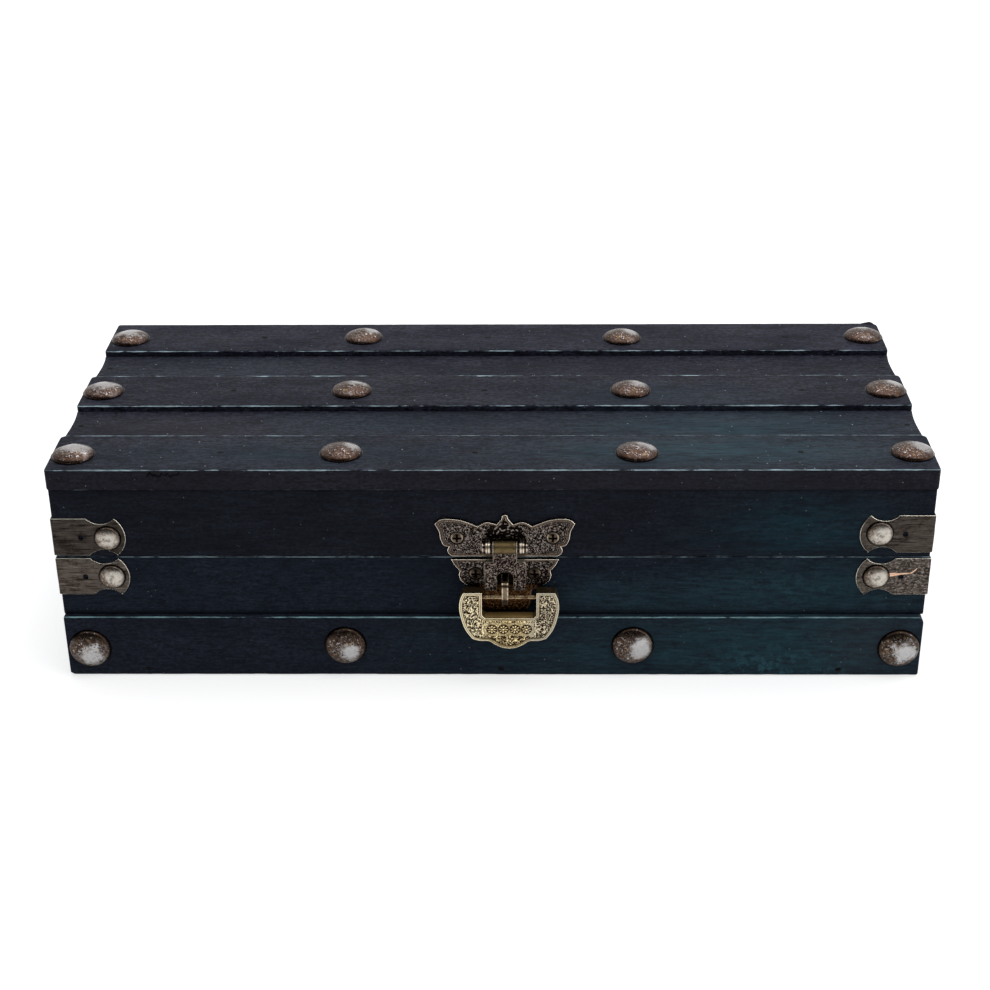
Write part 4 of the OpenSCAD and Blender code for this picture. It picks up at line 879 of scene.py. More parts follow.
def dome_part(center, normal, up, size, seed, lit, shadow_ring, turns=44, dent=0.14, swirl=0.0):
    """Hammered dome on a surface: uneven outline, shallow dents, fine pits near the rim, a curl as deep as
    swirl, and a ring of painted shadow under it that is shadow_ring times as wide. lit is the middle of the
    painted highlight along up and along the other axis, and its size, as shares of the radius."""
    radius, height, edge = size
    n, u = Vector(normal).normalized(), Vector(up).normalized()
    axes = (u, n.cross(u), n)
    mid = radius - edge
    crown = (mid ** 2 + height ** 2 - edge ** 2) / (2 * (height - edge))
    join = mid + edge * mid / (crown - edge)
    bend = np.linspace(math.asin((join - mid) / edge), math.pi / 2, 7)
    rings = list(np.linspace(0, join, 11)[1:-1]) + list(mid + edge * np.sin(bend))
    angles = ring_angles(turns)
    flat = np.array([(0.0, 0.0)] + [(r * math.cos(a), r * math.sin(a)) for r in rings for a in angles])
    r = np.hypot(flat[:, 0], flat[:, 1])
    turn = np.arctan2(flat[:, 1], flat[:, 0])
    z = np.where(r < join, height - crown + np.sqrt(np.maximum(crown ** 2 - r ** 2, 0)),
                 np.sqrt(np.maximum(edge ** 2 - (r - mid) ** 2, 0)))
    uneven = 0.984 + 0.016 * noise(at_level(np.cos(turn) * 1.2, np.sin(turn) * 1.2, seed * 3.7), seed)
    q = at_level(flat[:, 0], flat[:, 1], seed * 9.1)
    fade = smooth(radius, 0.75 * radius, r)
    z = z - dent * np.abs(layered(q * 0.30, 2, seed + 2)) * (0.3 + 0.7 * fade)
    z = z - 0.10 * np.clip(layered(q * 1.7, 2, seed + 4) - 0.30, 0, 1) * smooth(radius, 0.93 * radius, r)
    z = z - swirl * bell(r, 0, 1.25) * (0.6 + 0.4 * np.sin(3 * turn + 4 * r))
    z = np.clip(z, 0, height)
    points = on_surface(center, axes, np.column_stack([flat * uneven[:, None], z]))
    last = 1 + (len(rings) - 1) * turns
    faces = [(0, 1 + k, 1 + (k + 1) % turns) for k in range(turns)]
    faces += [f[:1] + f[:0:-1] for f in tube(len(rings), turns, 1)]
    faces.append(tuple(range(last + turns - 1, last - 1, -1)))
    # Painted highlight round lit, falling to darker patches elsewhere, with some noise; the tone attribute
    # carries it
    painted_highlight = bell(np.hypot(flat[:, 0] / radius - lit[0], flat[:, 1] / radius - lit[1]), 0, lit[2])
    tone = 1.4 * painted_highlight - 0.65 + 0.40 * layered(q * 0.45, 2, seed + 6)
    curl = bell(r, 0.75 + 0.25 * turn / math.pi, 0.22) * (0.5 + 0.5 * np.sin(2 * turn + seed))
    mark = np.clip(np.maximum(curl, bell(r, 0, 0.35)), 0, 1) * (swirl > 0)
    start = len(points)
    # Thin dark disc under the dome: painted shadow
    ring = [(shadow_ring * radius * math.cos(a), shadow_ring * radius * math.sin(a)) for a in angles]
    points += on_surface(center, axes, [(a, b, h) for h in (SHADOW_RING_T, 0.0) for a, b in ring])
    faces += [tuple(range(start, start + turns)), tuple(range(start + 2 * turns - 1, start + turns - 1, -1))]
    faces += [f[::-1] for f in tube(2, turns, start)]
    rim = smooth(0.62 * radius, 0.96 * radius, r)
    values = {key: np.append(on_dome, [on_ring] * 2 * turns)
              for key, on_dome, on_ring in (("tone", tone, 0.0), ("edge", rim, 2.0), ("mark", mark, 0.0))}
    return np.array(points), faces, values


# Ring of painted shadow under each dome: its thickness, and its radius for the studs as a share of theirs
SHADOW_RING_T, STUD_SHADOW_RING = 0.045, 1.03
# Place of each stud as shares of the half width and of the board, then its painted highlight
FRONT_STUDS = ((-0.949, -0.16, (0.15, 0.25, 0.68)), (-0.341, -0.05, (0.5, 0.3, 0.50)),
               (0.33, -0.05, (0.45, 0.2, 0.58)), (0.95, -0.05, (0.5, 0.1, 0.50)))
MIDDLE_STUDS = ((-0.95, -0.09, (0.1, 0.3, 0.74)), (-0.345, -0.04, (0.25, 0.4, 0.50)),
                (0.333, -0.03, (0.4, 0.35, 0.60)), (0.95, -0.05, (0.45, 0.2, 0.40)))
REAR_STUDS = ((-0.948, -0.11, (0.0, 0.2, 0.68)), (-0.342, -0.02, (0.4, 0.2, 0.40)),
              (0.327, -0.09, (0.5, 0.25, 0.48)), (0.95, -0.02, (0.0, 0.5, 0.42)))
BAND_STUDS = ((-0.943, 0.465, (0.05, -0.30, 0.62)), (-0.343, 0.522, (0.3, -0.2, 0.52)),
              (0.327, 0.522, (0.38, -0.05, 0.62)), (0.946, 0.476, (0.25, -0.05, 0.60)))

for row, table, first in (("front", FRONT_STUDS, 21), ("middle", MIDDLE_STUDS, 31), ("rear", REAR_STUDS, 41)):
    lo, hi = mm_box(row + "_slat")
    parts = []
    for k, (a, b, lit) in enumerate(table):
        place = (a * HALF_W, (lo[1] + hi[1]) / 2 + b * (hi[1] - lo[1]) / 2, SLAT_TOP)
        parts.append(dome_part(place, (0, 0, 1), (1, 0, 0), STUD, first + k, lit, STUD_SHADOW_RING))
    piece(f"studs_{row}_slat", merge(parts), "lid", stud_top, (row + "_slat_studs",))

parts = [dome_part((a * HALF_W, BAND_Y, b * BAND_TOP), (0, -1, 0), (1, 0, 0), STUD, 51 + k, lit, STUD_SHADOW_RING)
         for k, (a, b, lit) in enumerate(BAND_STUDS)]
piece("studs_band", merge(parts), "base", stud_band, ("front_band_studs",))


# Sunk brad heads
BRAD_R, BRAD_TURNS = 0.62, 16
# Width, as a share of the radius, and height of each ring of points
BRAD_ROWS = ((1.0, 0.0), (0.92, 0.06), (0.66, 0.03), (0.45, 0.05))


def brad_part(center, normal, seed):
    """Dark ragged dent over a sunk brad, with a low crumpled lip."""
    n = Vector(normal).normalized()
    u = Vector((1, 0, 0)) if abs(n.x) < 0.5 else Vector((0, 1, 0))
    angles = ring_angles(BRAD_TURNS)
    shape = 1 + 0.22 * noise(at_level(np.cos(angles) * 1.5, np.sin(angles) * 1.5, seed * 2.7), seed)
    offsets = [(BRAD_R * s * k * math.cos(a) * 1.35, BRAD_R * s * k * math.sin(a), h)
               for s, h in BRAD_ROWS for k, a in zip(shape, angles)]
    faces = [tuple(range(BRAD_TURNS - 1, -1, -1)), tuple(range(3 * BRAD_TURNS, 4 * BRAD_TURNS))]
    return np.array(on_surface(center, (u, n.cross(u), n), offsets)), faces + tube(4, BRAD_TURNS), {}


def brads(name, node, body, places):
    """The dents of one node's brads; each place comes with its outward direction."""
    parts = [brad_part(place, normal, k + 1) for k, (place, normal) in enumerate(places)]
    piece(name, merge(parts), body, dent_wood, (node,))


# Brads of the slats, as shares of the half width
BATTEN_BRADS = (("front_slat", (-0.616, -0.037, 0.70)), ("middle_slat", (-0.635, -0.022, 0.75)),
                ("rear_slat", (-0.6, -0.02, 0.749)))
END_X = WALL_X - 3.0
UP, BEHIND = (0, 0, 1), (0, 1, 0)
SEAM_GAP, ABOVE_SEAM, BELOW_SEAM = 0.15, 1.0, 0.6
LID_BRADS_Z = SEAM_Z + SEAM_GAP + ABOVE_SEAM + STRAP_H / 2
BASE_BRADS_Z = SEAM_Z - BELOW_SEAM - STRAP_H / 2
# Brads that hold the bottom board, through the foot of both bands
BAND_BRADS, BAND_BRADS_Z = (-0.81, 0.02, 0.81), 2.0


def back_brads(z):
    """Two brads at either end of the back, round a level."""
    return [((x, -WALL_Y, z + s * STRAP_H), BEHIND) for x in (-END_X, END_X) for s in (-0.2, 0.2)]


places = [((s * HALF_W, middle_of(slat, 1), SLAT_TOP), UP) for slat, row in BATTEN_BRADS for s in row]
places += [((x, middle_of(node, 1), mm_box(node)[1][2]), UP)
           for node in ("front_sunk_plank", "rear_sunk_plank") for x in (-END_X, END_X)]
brads("brads_lid", "lid_brads", "lid", places + back_brads(LID_BRADS_Z))
places = [((s * HALF_W, -side * BAND_Y, BAND_BRADS_Z), (0, side, 0)) for s in BAND_BRADS for side in (-1, 1)]
brads("brads_base", "base_brads", "base", places + back_brads(BASE_BRADS_Z))

# Corner straps with their nails
STRAP_L, STRAP_BULGE = 19.8, 2.7
STRAP_STRAIGHT, STRAP_HOLLOW, STRAP_NAIL, STRAP_HOLE, STRAP_HOLE_R = 9.4, 1.7, 14.6, 7.5, 0.75
# Shift of the left and the right front nail along the strap and its lift, as shares of the strap's height
LID_NAILS = ((0.02, -0.027), (-0.02, 0.021))
BASE_NAILS = ((0.026, 0.005), (-0.026, 0.005))


def strap_leg():
    """Upper edge and end of one leg, from the corner to the middle of its round end."""
    half, tip = STRAP_H / 2, STRAP_L - STRAP_BULGE
    mid, span = (STRAP_STRAIGHT + tip) / 2, (tip - STRAP_STRAIGHT) / 2
    r = (span ** 2 + STRAP_HOLLOW ** 2) / (2 * STRAP_HOLLOW)
    swing = math.asin(span / r)
    hollow = [(mid + r * math.sin(a), half - STRAP_HOLLOW + r - r * math.cos(a))
              for a in np.linspace(-swing, swing, 13)]
    end_r = (half ** 2 + STRAP_BULGE ** 2) / (2 * STRAP_BULGE)
    turn = math.asin(half / end_r)
    end = [(STRAP_L - end_r + end_r * math.cos(a), end_r * math.sin(a)) for a in np.linspace(turn, 0, 9)][1:]
    return hollow + end


def circle(u, v, r, count=18):
    """Points round a circle on a flat pattern."""
    return [(u + r * math.cos(a), v + r * math.sin(a)) for a in ring_angles(count)]


def copper_scratch(u, v):
    """Strands of a scratch through the plating: thick at the nail, a point and a curl at the other end."""
    taper = np.clip((u - 4.5) / 5.9, 0, 1)
    middle = 0.95 - 0.10 * (u - 7)
    half = 0.10 + 0.62 * taper
    body = smooth(1.0, 0.75, np.abs(v - middle) / half) * (u > 4.5) * (u < 11.2)
    strands = 0.65 + 0.35 * np.cos((v - middle) * 11 + 0.8 * u)
    t = np.clip((4.9 - u) / 1.5, 0, 1)
    curl = smooth(0.26, 0.10, np.abs(v - 1.25 - 1.3 * t ** 1.5)) * (u < 4.9) * (u > 3.3)
    return body * strands, curl


def strap(node, name, body, side, seed, metal, pitch=0.30, copper=False):
    """Strap bent round a front corner; its flat pattern runs from the side leg's tip to the front leg's."""
    z0 = middle_of(node, 2)
    bend = math.pi / 4 * STRAP_T
    upper = [(u + bend, v) for u, v in strap_leg()]
    right = upper + [(u, -v) for u, v in upper[::-1][1:]]
    loop = right + [(-u, v) for u, v in right[::-1]]
    holes = [circle(k * (STRAP_HOLE + bend), 0, STRAP_HOLE_R) for k in (1, -1)]

    def place(s, v, out):
        angle = np.clip(s / bend, -1, 1) * math.pi / 4
        run = np.maximum(np.abs(s) - bend, 0)
        px = -WALL_X + np.where(s > 0, run, 0) - np.sin(math.pi / 4 - angle) * out
        py = WALL_Y + np.where(s > 0, 0, run) - np.cos(math.pi / 4 - angle) * out
        return np.stack([px if side < 0 else -px, py, z0 + v], axis=1)

    def height(points, rim):
        u, v = np.abs(points[:, 0]) - bend, points[:, 1]
        wave = 0.05 * layered(at_level(points[:, 0] * 0.15, v * 0.4, seed * 1.0), 2, seed)
        dish = 0.10 * smooth(4.8, 3.4, np.hypot(u - STRAP_NAIL, v))
        top = STRAP_T - 0.05 + wave - dish - 0.14 * smooth(0.14, 0.0, rim)
        shade = np.zeros(len(points))
        if copper:
            body_mark, curl = copper_scratch(u, v) * (points[:, 0] > 0)
            shade = np.maximum(body_mark, curl)
            top = top + 0.05 * (body_mark + curl)
        return np.minimum(top, STRAP_T), shade

    points, faces, attributes = relief_part([loop] + holes, pitch, height, place, 0.0)
    if side > 0:
        faces = [f[::-1] for f in faces]
    piece(name, (points, faces, attributes), body, metal, (node,))


strap("lid_left_strap", "strap_lid_left", "lid", -1, 61, strap_dark)
strap("lid_right_strap", "strap_lid_right", "lid", 1, 62, strap_mid)
strap("base_left_strap", "strap_base_left", "base", -1, 63, strap_light)
strap("base_right_strap", "strap_base_right", "base", 1, 64, strap_pale, 0.19, True)

NAIL_LOOK = {"shadow_ring": 1.05, "turns": 36, "dent": 0.05, "swirl": 0.10}
# Painted highlight on the nails' fronts and sides: its middle along up and along the other axis, and its size
FRONT_LIT, SIDE_LIT = (0.25, 0.05, 0.70), (0.1, 0.2, 0.85)
for body, table, first in (("lid", LID_NAILS, 71), ("base", BASE_NAILS, 81)):
    parts = []
    for k, (side, corner) in enumerate(((-1, "left"), (1, "right"))):
        z = middle_of(f"{body}_{corner}_strap", 2)
        shift, lift = table[k]
        x = WALL_X - STRAP_NAIL - shift * STRAP_H
        front = (side * x, WALL_Y - STRAP_T + NAIL_SUNK, z + lift * STRAP_H)
        beside = (side * (WALL_X + STRAP_T - NAIL_SUNK), WALL_Y + STRAP_NAIL, z)
        parts.append(dome_part(front, (0, -1, 0), (1, 0, 0), NAIL, first + k, FRONT_LIT, **NAIL_LOOK))
        parts.append(dome_part(beside, (side, 0, 0), (0, 0, 1), NAIL, first + k + 4, SIDE_LIT, **NAIL_LOOK))
    piece(f"nails_{body}_straps", merge(parts), body, nail_metal, (f"{body}_strap_nails",))

# Right half of the outlines of hasp and padlock, as shares of the half width and of the height
WING = [[(0, 1), (0.033, 0.985), (0.045, 0.92), (0.07, 0.86), (0.12, 0.77)],
        [(0.12, 0.77), (0.175, 0.80), (0.25, 0.825), (0.32, 0.79), (0.39, 0.72)],
        [(0.39, 0.72), (0.50, 0.80), (0.63, 0.87), (0.79, 0.905), (0.92, 0.885), (1, 0.79)],
        [(1, 0.79), (0.94, 0.60), (0.92, 0.41), (0.875, 0.27), (0.80, 0.235)],
        [(0.80, 0.235), (0.825, 0.14), (0.80, 0.05), (0.755, 0)]]
TAIL = [[(1, 1), (0.93, 0.885), (0.84, 0.79)], [(0.84, 0.79), (0.86, 0.71), (0.83, 0.62)],
        [(0.83, 0.62), (0.74, 0.55), (0.62, 0.49), (0.52, 0.44)],
        [(0.52, 0.44), (0.49, 0.32), (0.48, 0.20), (0.40, 0.09), (0.22, 0.02), (0, 0)]]
LOCK = [[(0.92, 1), (0.985, 0.87), (1, 0.70), (0.949, 0.486), (0.869, 0.317), (0.745, 0.177)],
        [(0.745, 0.177), (0.599, 0.143), (0.409, 0.135), (0.285, 0.073), (0.146, 0.02), (0, 0)]]


def curve(points, steps=6):
    """Smooth curve through the points, without the last one."""
    out = []
    for i in range(len(points) - 1):
        a, b = np.array(points[max(i - 1, 0)]), np.array(points[i])
        c, d = np.array(points[i + 1]), np.array(points[min(i + 2, len(points) - 1)])
        for k in range(steps):
            t = k / steps
            out.append(b + t * (c - a) / 2 + t * t * (2 * a - 5 * b + 4 * c - d) / 2
                       + t ** 3 * (3 * b - a - 3 * c + d) / 2)
    return out


def outline(spans, half, height, foot):
    """Closed loop of a symmetrical plate from the curves of its right half, without doubled points."""
    right = [q for span in spans for q in curve(span)] + [np.array(spans[-1][-1])]
    right = np.array([(q[0] * half, foot + q[1] * height) for q in right])
    left = right[::-1] * (-1, 1)
    loop = [tuple(q) for q in right] + [tuple(q) for q in left]
    clean = [loop[0]]
    for q in loop[1:]:
        if math.dist(q, clean[-1]) > 1e-4:
            clean.append(q)
    if math.dist(clean[0], clean[-1]) < 1e-4:
        clean.pop()
    return np.array(clean)


def worms(points, scale, seed):
    """Crowded little scrolls and dots, from 0 in the hollows to 1 on the ridges."""
    q = at_level(points[:, 0] * scale, points[:, 1] * scale, seed * 2.3)
    bent = q + 0.5 * at_level(noise(q * 0.8, seed), noise(q * 0.8 + 9.0, seed + 1))
    ridge = 1 - np.abs(noise(bent, seed + 2)) * 2.9
    dots = smooth(0.10, 0.50, noise(q * 1.3, seed + 3))
    return np.clip(np.maximum(ridge, dots * 0.9), 0, 1)


FIELD = PLATE_T - RIM_H
SEAT_R = 2.15
FAN_Z, FAN_R = 5.6, 5.4


def plate_height(points, rim, seed, screws, extra=None):
    """Thin rim ridge, stippled field and flat seats under the screws."""
    grain = worms(points, 3.1, seed)
    field = FIELD + 0.03 + 0.20 * grain
    if extra is not None:
        field = extra(points, rim, field)
    ridge = PLATE_T + 0.01 + 0.06 * smooth(0.0, 0.14, rim) - 0.05 * smooth(0.24, 0.40, rim)
    top = np.where(rim < RIM_W, ridge + (FIELD + 0.02 - ridge) * smooth(RIM_W - 0.16, RIM_W, rim), field)
    for u, v in screws:
        d = np.hypot(points[:, 0] - u, points[:, 1] - v)
        top = np.where(d < SEAT_R, FIELD + 0.03 + 0.10 * smooth(1.8, 2.0, d), top)
    on_rim = 0.32 + 0.14 * smooth(FIELD, PLATE_T + 0.05, top)
    return top, np.where(rim < RIM_W, on_rim, smooth(FIELD + 0.02, FIELD + 0.23, top))


def wing_extra(points, rim, field):
    """Grooves along the wings' edges, a fan of dots under the finial, and a low field behind the barrel."""
    u, v = np.abs(points[:, 0]), points[:, 1] - PLATE_LO[2]
    lines = 0.13 * bell(rim, 0.82, 0.11) + 0.11 * bell(rim, 1.28, 0.10) + 0.08
    out = smooth(9.5, 12.5, u) * smooth(1.75, 1.45, rim)
    field = field * (1 - out) + (FIELD + 0.02 + lines) * out
    in_fan = (v > FAN_Z) & (np.hypot(points[:, 0], v - FAN_Z) < FAN_R)
    dots = noise(at_level(points[:, 0] * 2.3, points[:, 1] * 2.3), 77)
    field = np.where(in_fan, FIELD + 0.015 + 0.22 * smooth(0.10, 0.45, dots), field)
    post = bell(u, 6.35, 0.20) * (v < 8.6) * (v > 1)
    field = np.maximum(field, FIELD + 0.02 + 0.13 * post)
    near_barrel = (u < 5.5) & (np.abs(v - BARREL_UP) < 2.4)
    return np.where(near_barrel, np.minimum(field, FIELD + 0.16), field)


def wing_height(points, rim):
    """Upper plate with its grooves and dots."""
    screws = ((-WING_SCREW_X, WING_SCREW_Z), (WING_SCREW_X, WING_SCREW_Z))
    return plate_height(points, rim, 5, screws, wing_extra)


def tail_height(points, rim):
    """Stippled plate, with painted shade nearly black behind the tongue's slot and where the padlock covers
    it.
    """
    top, shade = plate_height(points, rim, 6, ((-TAIL_SCREW_X, TAIL_SCREW_Z), (TAIL_SCREW_X, TAIL_SCREW_Z)))
    shade = np.where((np.abs(points[:, 0]) < 2.7) & (points[:, 1] < SLOT_TOP + 0.9), 0.0, shade)
    return top, shade * (1 - 0.8 * smooth(LOCK_HI[2] + 0.6, LOCK_HI[2] - 1.2, points[:, 1]))


wing_loop = outline(WING, (PLATE_HI[0] - PLATE_LO[0]) / 2, PLATE_HI[2] - PLATE_LO[2], PLATE_LO[2])
wing = relief_part([wing_loop], FINE, wing_height, on_front(HASP_X), FIELD - 0.05)
piece("hasp_wing_relief", wing, "lid", relief_bronze)

tail_loop = outline(TAIL, (TAIL_HI[0] - TAIL_LO[0]) / 2, TAIL_HI[2] - TAIL_LO[2], TAIL_LO[2])
HOLE_HALF, HOLE_FOOT, HOLE_TOP = 1.0, STAPLE_LO[2] - 0.1, STAPLE_HI[2] + 0.1
staple_hole = [(-HOLE_HALF, HOLE_FOOT), (HOLE_HALF, HOLE_FOOT), (HOLE_HALF, HOLE_TOP), (-HOLE_HALF, HOLE_TOP)]
tail = relief_part([tail_loop, staple_hole], FINE, tail_height, on_front(HASP_X), FIELD - 0.05)
# No bright rim where the padlock covers the plate
tail[2]["rim"][tail[0][:, 2] < LOCK_HI[2] - 0.3] = 9.0
piece("hasp_tail_relief", tail, "base", relief_bronze)

# Tongue: half widths of its head, neck and slot, and the radius of its corners
TONGUE_OUT = PLATE_T + TONGUE_GAP + TONGUE_T
HEAD, NECK, SLOT, SHOULDER, SLOT_CUT = 5.8, 3.3, 2.2, 1.0, 1.0
tip_z, neck_z, barrel_z = TONGUE_LO[2], AXIS_Z - 4.7, AXIS_Z - 1.9


def arc(cu, cv, a0):
    """Rounded corner of the tongue, a quarter turn from the angle a0."""
    angles = [math.radians(a) for a in np.linspace(a0, a0 + 90, 5)]
    return [(cu + SHOULDER * math.cos(a), cv + SHOULDER * math.sin(a)) for a in angles]


tongue_loop = ([(NECK, barrel_z), (-NECK, barrel_z), (-NECK, neck_z)]
               + arc(-HEAD + SHOULDER, neck_z - SHOULDER, 90) + arc(-HEAD + SHOULDER, tip_z + SHOULDER, 180)
               + [(-SLOT, tip_z), (-SLOT, SLOT_TOP - SLOT_CUT), (-SLOT + SLOT_CUT, SLOT_TOP)]
               + [(SLOT - SLOT_CUT, SLOT_TOP), (SLOT, SLOT_TOP - SLOT_CUT), (SLOT, tip_z)]
               + arc(HEAD - SHOULDER, tip_z + SHOULDER, 270) + arc(HEAD - SHOULDER, neck_z - SHOULDER, 0)
               + [(NECK, neck_z)])


def tongue_height(points, rim):
    """Stippled field with a narrow raised rim."""
    top = TONGUE_OUT + 0.01 + 0.13 * worms(points, 3.0, 8)
    top = np.where(rim < 0.26, TONGUE_OUT + 0.10 * smooth(0.0, 0.10, rim), top)
    return top, np.where(rim < 0.26, 0.55, smooth(TONGUE_OUT + 0.01, TONGUE_OUT + 0.14, top))


tongue = relief_part([np.array(tongue_loop)[::-1]], FINE, tongue_height, on_front(HASP_X), TONGUE_OUT - 0.05)
piece("tongue_relief", tongue, "hasp", tongue_bronze)

# Padlock
LOCK_X = (LOCK_LO[0] + LOCK_HI[0]) / 2
LOCK_OUT = WALL_Y - LOCK_LO[1]
LOCK_H = LOCK_HI[2] - LOCK_LO[2]
GAP_HALF, GAP_CUT = 7.5, 0.9
half_w = (LOCK_HI[0] - LOCK_LO[0]) / 2
edge = [q for span in LOCK for q in curve(span)] + [np.array(LOCK[-1][-1])]
right = [(q[0] * half_w, LOCK_LO[2] + q[1] * LOCK_H) for q in edge]
gap = [(-GAP_HALF, LOCK_HI[2]), (-GAP_HALF, GAP_FLOOR + GAP_CUT), (-GAP_HALF + GAP_CUT, GAP_FLOOR),
       (GAP_HALF - GAP_CUT, GAP_FLOOR), (GAP_HALF, GAP_FLOOR + GAP_CUT), (GAP_HALF, LOCK_HI[2])]
lock_loop = np.array(right + [(-u, v) for u, v in right[::-1]][1:] + gap)
ROSETTES, ROSETTE_R, BEAD_PITCH = (-4.8, -1.6, 1.6, 4.8), 1.5, 0.62
PANEL_HALF, PANEL_FOOT, PANEL_DROP = 6.9, 3.9, 1.45


def lock_height(points, rim):
    """Double rim, stippled ears and foot, and a plain row of rosettes on a framed panel."""
    u, v = points[:, 0], points[:, 1]
    field_floor = LOCK_OUT - 0.35 + 0.02
    field = field_floor + 0.26 * worms(points, 2.9, 14)
    low, high = LOCK_LO[2] + PANEL_FOOT, GAP_FLOOR - PANEL_DROP
    panel = (np.abs(u) < PANEL_HALF) & (v < high) & (v > low)
    flat = field_floor + 0.13 + 0.05 * worms(points, 2.6, 15)
    cz = (high + low) / 2
    for k, cx in enumerate(ROSETTES):
        r = np.hypot(u - cx, v - cz)
        a = np.arctan2(v - cz, u - cx)
        wave = 0.5 + 0.5 * np.cos(8 * a + k * 0.7)
        petals = smooth(1.40, 1.10, r / (0.86 + 0.14 * wave)) * smooth(0.42, 0.60, r) * wave
        flower = 0.24 * np.maximum(petals, smooth(0.42, 0.26, r))
        flat = np.where(r < ROSETTE_R, field_floor + 0.05 + flower, flat)
    field = np.where(panel, flat, field)
    beads = 0.5 + 0.5 * np.cos(u * 2 * math.pi / BEAD_PITCH)
    row = bell(v, GAP_FLOOR - 1.05, 0.18) * (np.abs(u) < 7.0)
    field = np.maximum(field, field_floor + 0.27 * row * beads)
    posts = bell(np.abs(u), 7.3, 0.15) * (v < GAP_FLOOR - 0.6) * (v > low - 0.6)
    field = np.maximum(field, field_floor + 0.22 * posts)
    base = LOCK_OUT + 0.012
    outer = base + 0.09 * bell(rim, 0.14, 0.11)
    inner = base + 0.10 * bell(rim, 0.62, 0.13) - 0.10 * bell(rim, 0.38, 0.08)
    ridge = np.maximum(outer, inner)
    top = np.where(rim < 0.8, ridge + (field_floor - ridge) * smooth(0.74, 0.88, rim), field)
    on_rim = 0.30 + 0.55 * smooth(base - 0.06, base + 0.09, top)
    return top, np.where(rim < 0.8, on_rim, smooth(field_floor, field_floor + 0.24, top))


lock = relief_part([lock_loop], FINE, lock_height, on_front(LOCK_X), LOCK_OUT - 0.36)
piece("lock_relief", lock, "padlock", relief_gold)


# Floor, flags, world and lamps
def seen_by_camera(tree):
    """1 for what the camera sees, also in reflections and through glass, and 0 for other light."""
    rays = add_node(tree, "LightPath").outputs
    seen = rays["Is Camera Ray"]
    for ray in ("Is Glossy Ray", "Is Transmission Ray"):
        seen = add_node(tree, "Math", {0: seen, 1: rays[ray]}, operation="MAXIMUM").outputs[0]
    return seen


def stage_sheet(name, corners, material):
    """A flat sheet of the studio, its corners in metres."""
    mesh = bpy.data.meshes.new(name)
    mesh.from_pydata(corners, [], [(0, 1, 2, 3)])
    obj = bpy.data.objects.new(name, mesh)
    scene.collection.objects.link(obj)
    obj.data.materials.append(material)
    return obj


FLOOR_HALF, FLOOR_Z, FLOOR_GLOW = 4, -0.0002, 0.62
floor_paint = bpy.data.materials.new("floor_paint")
floor_paint.use_nodes = True
tree = floor_paint.node_tree
tree.nodes.clear()
seen = seen_by_camera(tree)
tone = add_node(tree, "Mix", {0: seen, 6: (0.22, 0.22, 0.23, 1), 7: (0.75, 0.75, 0.75, 1)}, data_type="RGBA")
diffuse = add_node(tree, "BsdfDiffuse", {0: tone.outputs[2]})
strength = add_node(tree, "Math", {0: seen, 1: FLOOR_GLOW}, operation="MULTIPLY")
glow = add_node(tree, "Emission", {0: (1, 1, 1, 1), 1: strength.outputs[0]})
both = add_node(tree, "AddShader", {0: diffuse.outputs[0], 1: glow.outputs[0]})
add_node(tree, "OutputMaterial", {0: both.outputs[0]})
corners = [(a * FLOOR_HALF, b * FLOOR_HALF, FLOOR_Z) for a, b in ((-1, -1), (1, -1), (1, 1), (-1, 1))]
stage_sheet("floor", corners, floor_paint)

# Black flags of the studio, out of the picture: one in front and one at the left
black = bpy.data.materials.new("flag_black")
black.use_nodes = True
flag_shader = black.node_tree.nodes["Principled BSDF"]
flag_shader.inputs["Base Color"].default_value = (0.01, 0.01, 0.01, 1)
flag_shader.inputs["Roughness"].default_value = 1.0
FLAGS = {"flag_front": [(-1.3, -0.95, 0.12), (1.3, -0.95, 0.12), (1.3, -0.75, 1.35), (-1.3, -0.75, 1.35)],
         "flag_left": [(-1.2, -0.9, 0.12), (-1.2, 0.3, 0.12), (-1.1, 0.3, 0.9), (-1.1, -0.9, 0.9)]}
for name, corners in FLAGS.items():
    flag = stage_sheet(name, corners, black)
    flag.visible_camera = flag.visible_diffuse = flag.visible_shadow = False

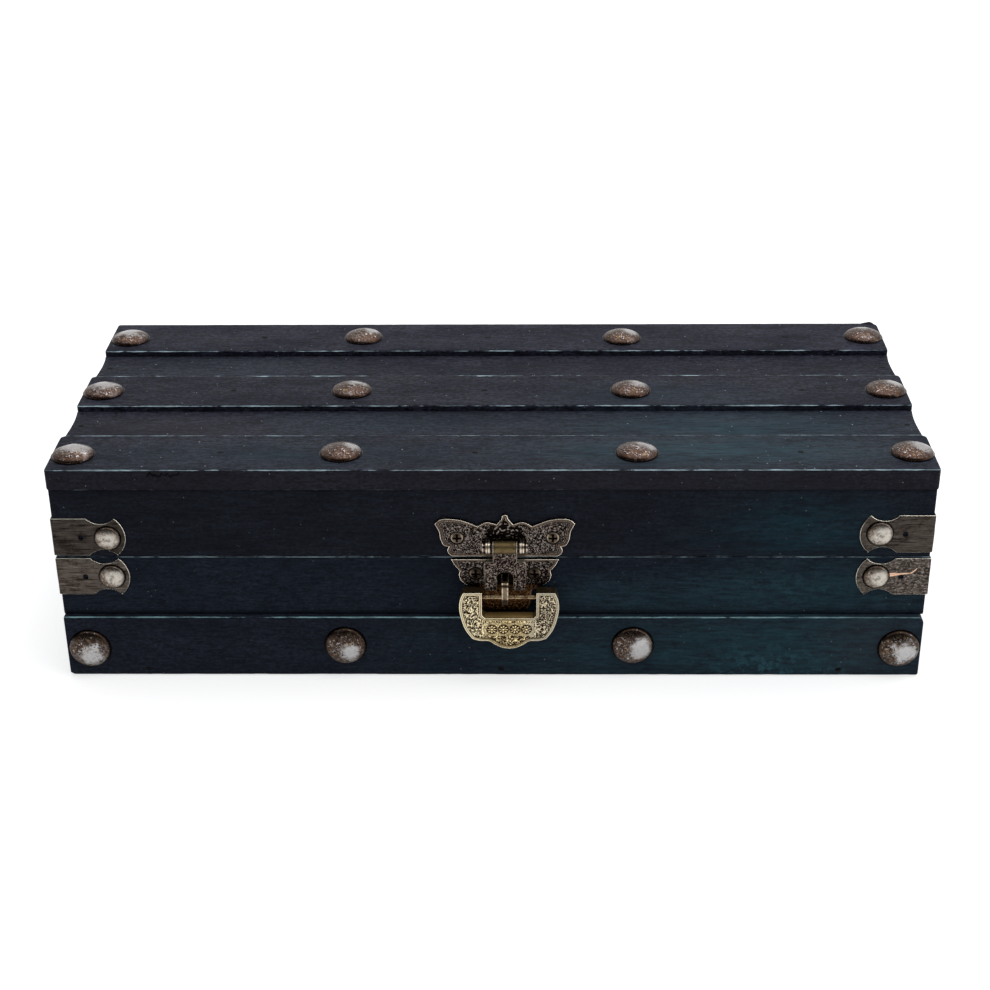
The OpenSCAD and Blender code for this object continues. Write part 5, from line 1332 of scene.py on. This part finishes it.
world = bpy.data.worlds.new("studio")
scene.world = world
world.use_nodes = True
tree = world.node_tree
tree.nodes.clear()
soft = add_node(tree, "Background", {0: (0.95, 0.97, 1.0, 1), 1: 0.45})
white = add_node(tree, "Background", {0: (1, 1, 1, 1), 1: 1.0})
mixer = add_node(tree, "MixShader", {0: seen_by_camera(tree), 1: soft.outputs[0], 2: white.outputs[0]})
add_node(tree, "OutputWorld", {0: mixer.outputs[0]})


def lamp(name, place, target, size, radiance):
    """Rectangular softbox; place, target and size are in metres."""
    data = bpy.data.lights.new(name, "AREA")
    data.shape = "RECTANGLE"
    data.size, data.size_y = size
    data.energy = radiance * math.pi * size[0] * size[1]
    obj = bpy.data.objects.new(name, data)
    scene.collection.objects.link(obj)
    obj.location = place
    obj.rotation_euler = (Vector(target) - Vector(place)).to_track_quat("-Z", "Y").to_euler()


lamp("top_softbox", (0.25, 0.25, 1.1), (0, 0, 0.04), (1.5, 1.1), 1.6)
lamp("right_softbox", (1.0, -0.35, 0.55), (0, 0, 0.03), (0.7, 0.5), 1.3)

# Camera of the photograph: focal length in pixels of its width, place in millimetres, and turns in degrees
PHOTO_W, SENSOR_W, FOCAL_PX = 990, 36.0, 1833.338
CAMERA_PLACE, CAMERA_TURNS = (9.345, -489.758, 284.871), (27.471, -1.076, -0.529)
camera_data = bpy.data.cameras.new("camera")
camera_data.sensor_width = SENSOR_W
camera_data.lens = FOCAL_PX / PHOTO_W * SENSOR_W
camera_data.clip_start = 0.01
camera = bpy.data.objects.new("camera", camera_data)
scene.collection.objects.link(camera)
pitch, yaw, roll = (math.radians(a) for a in CAMERA_TURNS)
forward = Vector((math.sin(yaw) * math.cos(pitch), math.cos(yaw) * math.cos(pitch), -math.sin(pitch)))
right = Vector((math.cos(yaw), -math.sin(yaw), 0))
up = right.cross(forward)
cam_x = right * math.cos(roll) + up * math.sin(roll)
cam_y = -right * math.sin(roll) + up * math.cos(roll)
turn = Matrix((cam_x, cam_y, -forward)).transposed().to_4x4()
camera.matrix_world = Matrix.Translation(Vector(CAMERA_PLACE) * MM) @ turn
scene.camera = camera
scene.view_settings.view_transform = "Standard"
